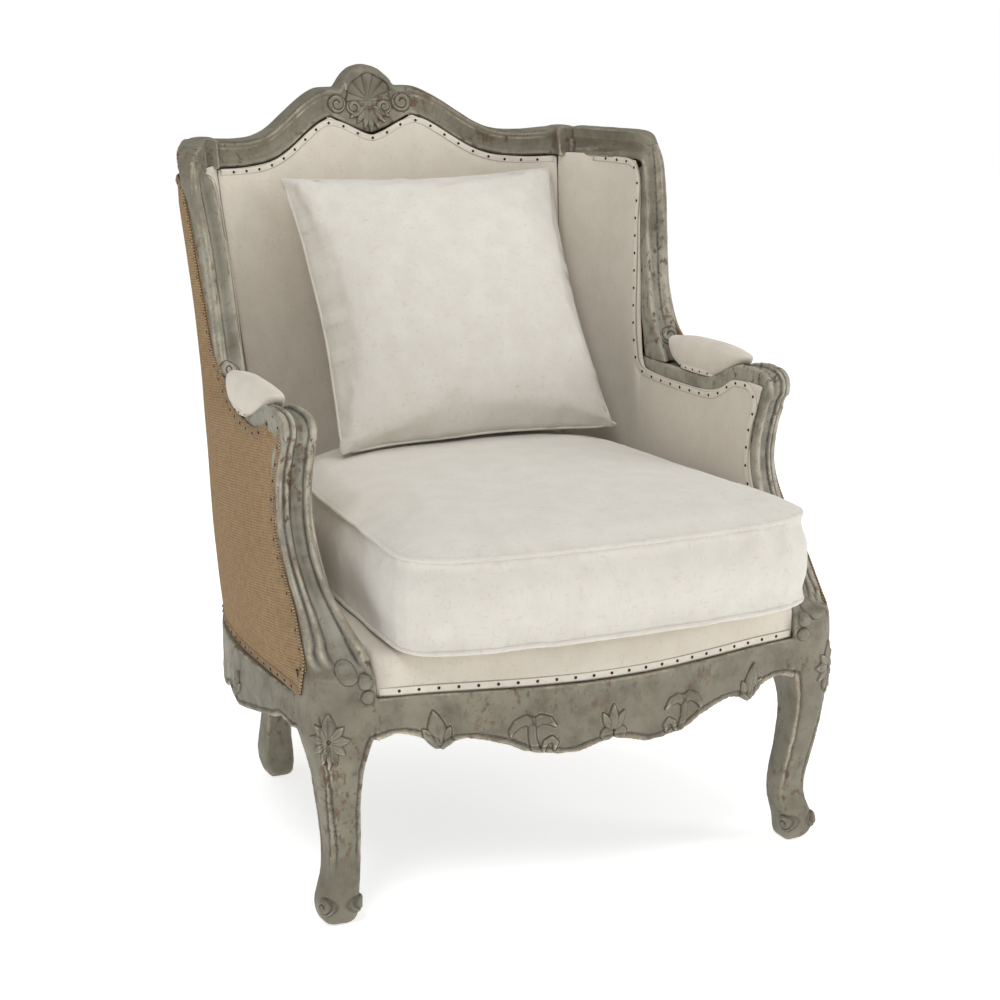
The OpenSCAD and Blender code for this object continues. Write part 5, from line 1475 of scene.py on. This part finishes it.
def upholstery():
    """All pads and covers but the loose ones; returns those that carry tape."""
    made = {"back": soft_copy("inside_back_pad", "inside_back_upholstery", LINEN_CLOTH, "linen",
                              1)}
    for seed, (side, s) in enumerate(SIDES, 2):
        made["inner_" + side] = soft_copy(
            "inside_side_pad_" + side, "inside_side_upholstery_" + side, LINEN_CLOTH, "linen",
            seed, spread)
        outer = soft_copy("outside_panel_" + side, "outside_burlap_" + side, BURLAP_CLOTH,
                          "burlap", seed + 2, lambda piece: tuck(piece, s), COVER_SLACK)
        lay_uv(outer, lambda at: lookup(at.y + SETBACK, ARCS))
        made["outer_" + side] = outer
        made["arm_pad_" + side] = soft_copy(
            "arm_pad_" + side, "arm_pad_cover_" + side, LINEN_CLOTH, "linen", seed + 4,
            puff, ARM_PAD_SLACK)
    made["rear"] = soft_copy("outside_back_panel", "outside_back_burlap", BURLAP_CLOTH, "burlap",
                             8, slack=COVER_SLACK)
    lay_uv(made["rear"], lambda at: at.x)
    made["deck"] = soft_copy("seat_platform", "seat_deck", LINEN_CLOTH, "linen", 9, levels=1)
    soft_copy("dust_cover", "dust_cloth", BLACK, "black_cloth", 10, levels=1)
    return made


ARC_STEP = 5 * MM
ARC_Z = 600 * MM


def arc_table():
    """Length along the side cover at mid height, against Y from the front feet."""
    table = [(0.0, 0.0)]
    y = 0.0
    while y < post_back_y(ARC_Z):
        step = math.hypot(ARC_STEP, cover_x(y + ARC_STEP, ARC_Z) - cover_x(y, ARC_Z))
        y += ARC_STEP
        table.append((y, table[-1][1] + step))
    return table


ARCS = arc_table()

def lay_uv(piece, across):
    """A flat map in metres: across gives the length round the piece, and height is height."""
    mesh = piece.data
    layer = mesh.uv_layers.new(name="UVMap") if not mesh.uv_layers else mesh.uv_layers[0]
    for loop in mesh.loops:
        point = mesh.vertices[loop.vertex_index].co
        layer.data[loop.index].uv = (across(point), point.z)


soft = upholstery()


# Tape and nails along the edges of the covers

NAIL_PITCH = 26 * MM
SNAP_REACH = 30 * MM
CURVE_STEPS = 6
TAPE_STEP = 6 * MM
TAPE_T = 1.5 * MM
TAPE_W = 10 * MM
HEM_W = 11 * MM
TAPE_FORM = [(-1, -0.9), (-1, 0.35), (-0.86, 0.9), (-0.5, 1), (0, 0.9), (0.5, 1), (0.86, 0.9),
             (1, 0.35), (1, -0.9)]
SUNK = 0.9


def snapped(points, facings, surface):
    """Points moved along their facing onto a surface; those that miss it keep their place."""
    found = []
    for point, facing in zip(points, facings):
        hit = surface.ray_cast(point + facing * SNAP_REACH, -facing, 2 * SNAP_REACH)[0]
        found.append(hit if hit is not None else point.copy())
    return found


def evened(points, facings, spacing):
    """A smooth line at even spacing, with the facing at each of its points."""
    line = evenly(smooth_points(points, CURVE_STEPS), spacing)
    turned_to = []
    for at in line:
        near = sorted(range(len(points)), key=lambda i: (points[i] - at).length)[:2]
        weights = [1 / ((points[i] - at).length + 1e-5) for i in near]
        total = sum((facings[i] * w for i, w in zip(near, weights)), Vector())
        turned_to.append(total.normalized())
    return line, turned_to


def softened(points, passes, closed=False):
    """A line whose points are drawn towards their neighbours; an open one keeps its ends."""
    for _ in range(passes):
        count = len(points)
        points = [points[i] if not closed and i in (0, count - 1)
                  else (points[i - 1] + points[i] * 2 + points[(i + 1) % count]) / 4
                  for i in range(count)]
    return points


def tape(name, line, facings, width, thick, cloth, closed=False):
    """A flat band with rounded edges that lies along a line."""
    points = []
    faces = []
    count = len(line)
    form = len(TAPE_FORM)
    run = 0.0
    runs = []
    for i, (at, facing) in enumerate(zip(line, facings)):
        before = line[i - 1] if i or closed else line[i]
        after = line[(i + 1) % count] if i < count - 1 or closed else line[i]
        across = (after - before).cross(facing).normalized()
        run += (at - line[i - 1]).length if i else 0
        for a, up in TAPE_FORM:
            points.append(at + across * width / 2 * a + facing * thick * up)
            runs.append((run, a * width / 2))
    for i in range(count if closed else count - 1):
        k = (i + 1) % count
        for j in range(form):
            n = (j + 1) % form
            faces.append((i * form + j, i * form + n, k * form + n, k * form + j))
    if not closed:
        faces.append(tuple(reversed(range(form))))
        faces.append(tuple((count - 1) * form + j for j in range(form)))
    piece = mesh_piece(name, points, faces, cloth)
    clean_normals(piece)
    layer = piece.data.uv_layers.new(name="UVMap")
    for loop in piece.data.loops:
        layer.data[loop.index].uv = runs[min(loop.vertex_index, len(runs) - 1)]


def nail_tree():
    """Geometry nodes that set a domed nail head on each point, turned to face outwards."""
    tree = bpy.data.node_groups.new("upholstery_nails", "GeometryNodeTree")
    face = tree.interface
    face.new_socket(name="Places", in_out="INPUT", socket_type="NodeSocketGeometry")
    sizes = [face.new_socket(name=name, in_out="INPUT", socket_type="NodeSocketFloat").identifier
             for name in ("Head radius", "Head height")]
    face.new_socket(name="Nails", in_out="OUTPUT", socket_type="NodeSocketGeometry")
    nodes_of = Nodes(tree)
    places, radius, height, _ = nodes_of.node("NodeGroupInput").outputs
    head = nodes_of.node("GeometryNodeMeshUVSphere", {"Segments": 10, "Rings": 6, "Radius": 1.0})
    size = nodes_of.node("ShaderNodeCombineXYZ", {"X": radius, "Y": radius, "Z": height})
    facing = nodes_of.node("GeometryNodeInputNamedAttribute", {"Name": "facing"},
                           data_type="FLOAT_VECTOR")
    turn = nodes_of.node("FunctionNodeAlignRotationToVector",
                         {"Vector": facing.outputs["Attribute"]}, axis="Z")
    heads = nodes_of.node("GeometryNodeInstanceOnPoints",
                          {"Points": places, "Instance": head.outputs["Mesh"],
                           "Rotation": turn.outputs["Rotation"], "Scale": size.outputs["Vector"]})
    real = nodes_of.node("GeometryNodeRealizeInstances", {"Geometry": heads.outputs[0]})
    dark = nodes_of.node("GeometryNodeSetMaterial",
                         {"Geometry": real.outputs["Geometry"], "Material": NAIL})
    nodes_of.node("NodeGroupOutput", {"Nails": dark.outputs["Geometry"]})
    return tree, sizes


NAIL_TREE, NAIL_SIZES = nail_tree()


def nails(name, places, *sizes):
    """Nail heads of a radius and a height at places, pairs of a point and its facing."""
    mesh = bpy.data.meshes.new(name)
    mesh.from_pydata([tuple(p) for p, _ in places], [], [])
    facing = mesh.attributes.new("facing", "FLOAT_VECTOR", "POINT")
    facing.data.foreach_set("vector", [c for _, f in places for c in f])
    piece = link(name, mesh)
    setter = modifier(piece, "NODES", node_group=NAIL_TREE)
    for identifier, size in zip(NAIL_SIZES, sizes):
        setter[identifier] = size
    bake(piece)
    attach(piece, "frame")


def nail_places(line, facings, spots, lift):
    """Spots on a line, lifted off it, each with the facing of the line's nearest point."""
    places = []
    for at in spots:
        facing = facings[min(range(len(line)), key=lambda k: (line[k] - at).length)]
        places.append((at + facing * lift, facing))
    return places


def trim(name, points, facings, cover, width, cloth):
    """A tape snapped onto a cover; returns the places of its nails."""
    points, facings = evened(points, facings, TAPE_STEP)
    line = softened(snapped(points, facings, surface_of(soft[cover])), 3)
    tape(name, line, facings, width, TAPE_T, cloth)
    return nail_places(line, facings, evenly(line, NAIL_PITCH)[1:-1], TAPE_T * SUNK)


# Places along the covers' upper edges: along the arm and its drop, then along the wing and up it
ARM_COLUMNS = [(0.25, 0.59), (0.305, 0.6), (0.355, 0.66), (0.41, 1.06), (0.477, 1.43),
               (0.586, 1.51), (0.723, 1.49), (0.84, 1.43), (0.909, 1.31), (0.932, 0.9)]
WING_COLUMNS = [(0.25, 0.12), (0.3, 0.28), (0.36, 0.46), (0.45, 0.68), (0.55, 0.88),
                (0.74, 0.98), (1.12, 1), (1.62, 1)]
OUTER_ARM = [(0.22, 0.2), (0.265, 0.06), (0.32, 0.5), (0.38, 1.03), (0.445, 1.06),
             (0.536, 0.97), (0.632, 0.77), (0.707, 0.57), (0.775, 0.17)]
OUTER_WING = [(-0.27, 0.05), (-0.01, 0.17), (0.27, 0.445), (0.54, 0.8), (0.66, 0.93),
              (0.82, 0.985), (1.2, 1), (1.65, 1), (2.05, 1)]
ARM_STRAIGHT = 440 * MM
# Heights and places along the seat of the points that the tapes pass
INNER_LEVELS = (0.362, 0.39, 0.42, 0.46, 0.5, 0.54, 0.58, 0.61)
OUTER_UPRIGHTS = (0.353, 0.38, 0.41, 0.45, 0.49, 0.53, 0.57, 0.61)
OUTER_FOOT = (0.47, 0.42, 0.36, 0.29, 0.22, 0.15, 0.08, 0.03, -0.008)
OUTER_TIP = [(-0.006, 0.323), (-0.007, 0.338)]
BACK_LEVELS = (0.33, 0.45, 0.6, 0.75, 0.9)
INSIDE_STEPS = 22
BORDER_STEPS = 16
BACK_STEPS = 20
FROM_WOOD = 5.5 * MM
BEFORE_COVER = 6 * MM
TURN_FROM = 0.38


def column_tops(arm, wing, amount):
    """The upper edge of a cover as (y, z) pairs, drawn in by amount."""
    flat = [(ARM_STRAIGHT * y, ARM_TOP - ARM_DIP * drop) for y, drop in arm]
    flat += [(WING_Y + TENTH * y, mix(ARM_TOP, UNDER_Z, up)) for y, up in wing]
    moved = []
    for i, (y, z) in enumerate(flat):
        y0, z0 = flat[max(i - 1, 0)]
        y1, z1 = flat[min(i + 1, len(flat) - 1)]
        length = math.hypot(y1 - y0, z1 - z0)
        moved.append((y + amount * (z1 - z0) / length, z - amount * (y1 - y0) / length))
    return moved


def inside_trims():
    """Linen tape and nails round the inside covers."""
    points = []
    for i in range(INSIDE_STEPS + 1):
        x = EAR_IN * (2 * i / INSIDE_STEPS - 1) * 0.985
        z = crest_under_z(x) - FROM_WOOD
        points.append(place(x, back_face_y(x, z) - BEFORE_COVER, z))
    places = trim("inside_back_gimp", points, [FRONT] * len(points), "back", TAPE_W, GIMP)
    for side, s in SIDES:
        flat = [(arm_line_y(z) + 19 * MM + 46 * MM * lookup(arm_share(z), SUPPORT_REACH), z)
                for z in INNER_LEVELS]
        points = []
        for y, z in flat + column_tops(ARM_COLUMNS, WING_COLUMNS, FROM_WOOD):
            forward, up = spread_by(y, z)
            y -= forward
            z += up
            points.append(place(s * (pad_x(y, z) - BEFORE_COVER), y, z))
        facings = [Vector((-s, -0.1, 0)).normalized()] * len(points)
        places += trim("inside_gimp_" + side, points, facings, "inner_" + side, TAPE_W, GIMP)
    points = []
    for i in range(BORDER_STEPS + 1):
        x = (KNEE_INNER - 5 * MM) * (2 * i / BORDER_STEPS - 1)
        points.append(place(x, rail_front_y(x) + 3 * MM, RAIL_TOP + 7.5 * MM))
    places += trim("border_gimp", points, [FRONT] * len(points), "deck", HEM_W, GIMP)
    nails("linen_nails", places, 2.25 * MM, 1.4 * MM)


def outside_trims():
    """Burlap hem and nails round the outside covers."""
    places = []
    for side, s in SIDES:
        foot = [(y, RAIL_TOP + 7 * MM) for y in OUTER_FOOT]
        front = [(arm_line_y(z) + support_turn_y(z) + 10 * MM, z) for z in OUTER_UPRIGHTS]
        top = column_tops(OUTER_ARM, OUTER_WING, 6 * MM)
        for n, flat in enumerate((foot, OUTER_TIP + front + top)):
            points = [place(s * (cover_x(y, z) + 2 * MM), y, z) for y, z in flat]
            facings = [Vector((s, 0.0 if y < TURN_FROM else 0.35, 0)).normalized()
                       for y, _ in flat]
            places += trim("burlap_hem_%d_%s" % (n + 1, side), points, facings, "outer_" + side,
                           HEM_W, HEM)
    post = [(-(post_x(z) + post_half(z) - 8 * MM), z) for z in BACK_LEVELS]
    line = post[:]
    for i in range(BACK_STEPS + 1):
        x = EAR_OUTER * 0.93 * (2 * i / BACK_STEPS - 1)
        line.append((x, crest_under_z(x) - 9 * MM))
    line += [(-x, z) for x, z in reversed(post)]
    points = [place(x, back_face_y(x, z) + pad_depth(z) + 2 * post_deep(z) + 8 * MM, z)
              for x, z in line]
    places += trim("back_hem", points, [-FRONT] * len(points), "rear", HEM_W, HEM)
    nails("burlap_nails", places, 2.0 * MM, 1.3 * MM)


RING_POINTS = 28
RING_STEP = 5 * MM
RING_W = 7 * MM
RING_T = 0.9 * MM
RING_PITCH = 19 * MM
RING_FOOT = 7 * MM
RING_CLIMB = 26 * MM


def pad_trims():
    """A ring of tape and nails round the foot of each arm pad."""
    places = []
    for side, _ in SIDES:
        pad = soft["arm_pad_" + side]
        corners = [v.co for v in pad.data.vertices]
        low = min(at.z for at in corners)
        middle = sum(corners, Vector()) / len(corners)
        surface = surface_of(pad)
        points = []
        facings = []
        for i in range(RING_POINTS):
            angle = 2 * math.pi * i / RING_POINTS
            out = Vector((math.cos(angle), math.sin(angle), 0))
            z = low + RING_FOOT + RING_CLIMB * abs(out.y) ** 6
            start = Vector((middle.x + 6 * MM * out.x, middle.y + 90 * MM * out.y, z))
            hit = surface.ray_cast(start + out * 60 * MM, -out, 80 * MM)[0]
            if hit is not None:
                points.append(hit)
                facings.append(out)
        line, facings = evened(points + points[:1], facings + facings[:1], RING_STEP)
        line = softened(line[:-1], 2, True)
        tape("arm_pad_gimp_" + side, line, facings[:-1], RING_W, RING_T, GIMP, True)
        places += nail_places(line, facings, evenly(line, RING_PITCH), 0.8 * MM)
    nails("arm_pad_nails", places, 1.6 * MM, 1.1 * MM)


inside_trims()
outside_trims()
pad_trims()


# Cushion and pillow

SIM_FRAMES = 20
SOFT_VOXEL = 7 * MM
WELT_SIDES = 8


def soften(name, node, cap, pressure, shrink):
    """Fills a copy of a loose solid with air pressure, and keeps each point within cap."""
    piece = copy_of(node, name)
    piece.data.materials.clear()
    piece.data.materials.append(COVER_CLOTH)
    modifier(piece, "REMESH", mode="VOXEL", voxel_size=SOFT_VOXEL)
    bake(piece)
    inflate(piece, cap, pressure, shrink)
    subdivide(piece, 1)
    bake(piece)
    return settle(piece, "linen", node, body=node)


def inflate(piece, cap, pressure, shrink):
    """Runs the cloth simulation, and takes its result over within cap."""
    start = [v.co.copy() for v in piece.data.vertices]
    cloth = modifier(piece, "CLOTH")
    settings = cloth.settings
    settings.effector_weights.gravity = 0
    settings.use_pressure = True
    settings.uniform_pressure_force = pressure
    settings.shrink_min = shrink
    settings.quality = 5
    settings.mass = 0.3
    settings.tension_stiffness = 25
    settings.compression_stiffness = 25
    settings.bending_stiffness = 0.6
    cloth.point_cache.frame_start = 1
    cloth.point_cache.frame_end = SIM_FRAMES
    for step in range(1, SIM_FRAMES + 1):
        bpy.context.scene.frame_set(step)
    bake(piece)
    bpy.context.scene.frame_set(1)
    for vertex, at in zip(piece.data.vertices, start):
        shift = vertex.co - at
        if shift.length > cap:
            vertex.co = at + shift.normalized() * cap


def pucker(piece, lines, reach, depth, pitch, seed):
    """Small gathers that run away from sewn lines and die out within reach."""
    along = []
    for line in lines:
        run = 0.0
        for a, b in zip(line, line[1:]):
            run += (b - a).length
            along.append((b, run))
    tree = KDTree(len(along))
    for i, (at, _) in enumerate(along):
        tree.insert(at, i)
    tree.balance()

    def gather(at, normal):
        _, i, away = tree.find(at)
        if away >= reach * 2.5:
            return 0.0
        run = along[i][1]
        strength = 0.35 + 0.9 * noise.noise(Vector((run * 9, seed, 0)))
        shift = 5 * noise.noise(Vector((run * 14, seed, 3)))
        fade = math.exp(-(away / reach) ** 2) * clamp(away / (6 * MM))
        return depth * math.sin(2 * math.pi * run / pitch + shift) * strength * fade

    push_out(piece, gather)


def welt(name, line, surface, radius, body, out=0.3):
    """A thin sewn cord that follows a closed line on a soft piece."""
    points = []
    count = len(line)
    found = []
    for at in line:
        spot, normal, _, _ = surface.find_nearest(at)
        found.append((spot + normal * radius * out, normal))
    centres = softened([f[0] for f in found], 4, True)
    for i, at in enumerate(centres):
        forward = (centres[(i + 1) % count] - centres[i - 1]).normalized()
        up = (found[i][1] - forward * found[i][1].dot(forward)).normalized()
        across = forward.cross(up)
        for k in range(WELT_SIDES):
            angle = 2 * math.pi * k / WELT_SIDES
            points.append(at + (up * math.cos(angle) + across * math.sin(angle)) * radius)
    faces = []
    for i in range(count):
        here = i * WELT_SIDES
        there = (i + 1) % count * WELT_SIDES
        for j in range(WELT_SIDES):
            n = (j + 1) % WELT_SIDES
            faces.append((here + j, there + j, there + n, here + n))
    clean_normals(mesh_piece(name, points, faces, PIPING, body))


# The cushion's plan in shares of its half width and of its length: front, side and back
CUSHION_FRONT = [(0, 0), (0.25, 0.02), (0.5, 0.08), (0.7, 0.17), (0.83, 0.3), (0.92, 0.5),
                 (0.975, 0.75), (1, 1.05)]
CUSHION_SIDE = [(0.16, 1), (0.24, 0.985), (0.34, 0.968), (0.46, 0.95), (0.58, 0.93),
                (0.68, 0.905), (0.77, 0.87), (0.85, 0.82)]
CUSHION_BACK = [(1, 0.055), (0.96, 0.022), (0.85, 0.005), (0.7, 0), (0.5, 0), (0.25, 0), (0, 0)]
CUSHION_HALF = 300 * MM
CUSHION_BACK_HALF = CUSHION_HALF * 0.74
CUSHION_L = 695 * MM
CUSHION_NOSE = 66 * MM
CUSHION_OVERHANG = 30 * MM
CUSHION_SHIFT = 12 * MM
CUSHION_MID_Y = 230 * MM
CUSHION_SIDE_H = 122 * MM
CUSHION_WELT = 3.3 * MM


def cushion_line(share, z):
    """The cushion's plan, drawn in by a share, as a closed line of points at a height."""
    front = rail_front_y(0) - CUSHION_OVERHANG
    half = [(CUSHION_HALF * x, front + CUSHION_NOSE * y) for x, y in CUSHION_FRONT]
    half += [(CUSHION_HALF * x, front + CUSHION_L * y) for y, x in CUSHION_SIDE]
    for s, y in CUSHION_BACK:
        x = CUSHION_BACK_HALF * s
        half.append((x, front + CUSHION_L * (1 - y) - BACK_BOW * (x / POST_TOP_X) ** 2))
    whole = half + [(-x, y) for x, y in reversed(half[1:-1])]
    points = [place(CUSHION_SHIFT + x * share, mix(CUSHION_MID_Y, y, share), z) for x, y in whole]
    return evenly(smooth_points(points + [points[0]], 5), 9 * MM)[:-1]


def loose_cushion():
    piece = soften("cushion", "seat_cushion", cap=3 * MM, pressure=3.0, shrink=-0.01)
    foot_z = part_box("seat_cushion")[0][2]
    top = cushion_line(0.975, foot_z + CUSHION_SIDE_H)
    bottom = cushion_line(0.985, foot_z + 3.5 * MM)
    pucker(piece, [top, bottom], reach=17 * MM, depth=1.5 * MM, pitch=31 * MM, seed=4)
    ruffle(piece, depth=1.5 * MM, size=100 * MM, seed=11)
    ruffle(piece, depth=0.5 * MM, size=30 * MM, seed=13)
    surface = surface_of(piece)
    welt("cushion_top_welt", top, surface, CUSHION_WELT, "seat_cushion")
    welt("cushion_bottom_welt", bottom, surface, CUSHION_WELT, "seat_cushion")


PILLOW_W = 452.1 * MM
PILLOW_LEAN = math.radians(31.5)
PILLOW_SHIFT = 37 * MM
PILLOW_DRAWN = 0.06
PILLOW_FORWARD = 0.504
SEAM_STEPS = 24


def pillow_line():
    """The pillow's seam as a closed line, its sides drawn in between the corners."""
    half = PILLOW_W / 2
    foot_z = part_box("back_pillow")[0][2] + 2 * MM * math.sin(PILLOW_LEAN)
    foot_y = back_face_y(0, foot_z) - PILLOW_W * PILLOW_FORWARD
    shares = [-1 + 2 * i / SEAM_STEPS for i in range(SEAM_STEPS)]
    border = ([(s, -1) for s in shares] + [(1, t) for t in shares]
              + [(-s, 1) for s in shares] + [(-1, -t) for t in shares])
    points = []
    for s, t in border:
        across = half * s * (1 - PILLOW_DRAWN * (1 - t * t))
        up = half * (1 + t * (1 - PILLOW_DRAWN * (1 - s * s)))
        points.append(place(PILLOW_SHIFT + across, foot_y + up * math.sin(PILLOW_LEAN),
                            foot_z + up * math.cos(PILLOW_LEAN)))
    return points


def loose_pillow():
    piece = soften("pillow", "back_pillow", cap=8 * MM, pressure=3.5, shrink=-0.03)
    seam = pillow_line()
    pucker(piece, [seam + [seam[0]]], reach=42 * MM, depth=2.6 * MM, pitch=47 * MM, seed=7)
    ruffle(piece, depth=3.2 * MM, size=110 * MM, seed=17)
    ruffle(piece, depth=0.8 * MM, size=35 * MM, seed=19)
    welt("pillow_welt", seam, surface_of(piece), 2.4 * MM, "back_pillow", 0.15)


loose_cushion()
loose_pillow()


# Floor, light and surroundings

FLOOR_HALF = 180.0
WORLD_LIGHT = 0.4
# Where each lamp stands and what it is turned to, its width in metres and its power in watts
LAMPS = {"key": ((-1.9, -2.0, 3.4), (0, 0.3, 0.5), 1.4, 54),
         "fill": ((3.2, -1.3, 1.7), (0, 0.3, 0.5), 2.0, 42),
         "top": ((0.3, 0.3, 3.4), (0, 0.3, 0), 2.0, 22)}


def studio():
    mesh = bpy.data.meshes.new("floor")
    mesh.from_pydata([(x * FLOOR_HALF, y * FLOOR_HALF, 0)
                      for x, y in ((-1, -1), (1, -1), (1, 1), (-1, 1))], [], [(0, 1, 2, 3)])
    mesh.materials.append(material(pale_floor))
    link("floor", mesh)
    for name, (at, aim, size, watts) in LAMPS.items():
        data = bpy.data.lights.new(name, "AREA")
        data.shape = "DISK"
        data.size = size
        data.energy = watts
        turned(link(name, data), place(*at), place(*aim))
    world = bpy.data.worlds.new("surroundings")
    bpy.context.scene.world = world
    world.use_nodes = True
    back = world.node_tree.nodes["Background"]
    back.inputs["Color"].default_value = (1, 1, 1, 1)
    back.inputs["Strength"].default_value = WORLD_LIGHT
    bpy.context.scene.view_settings.view_transform = "Standard"


studio()
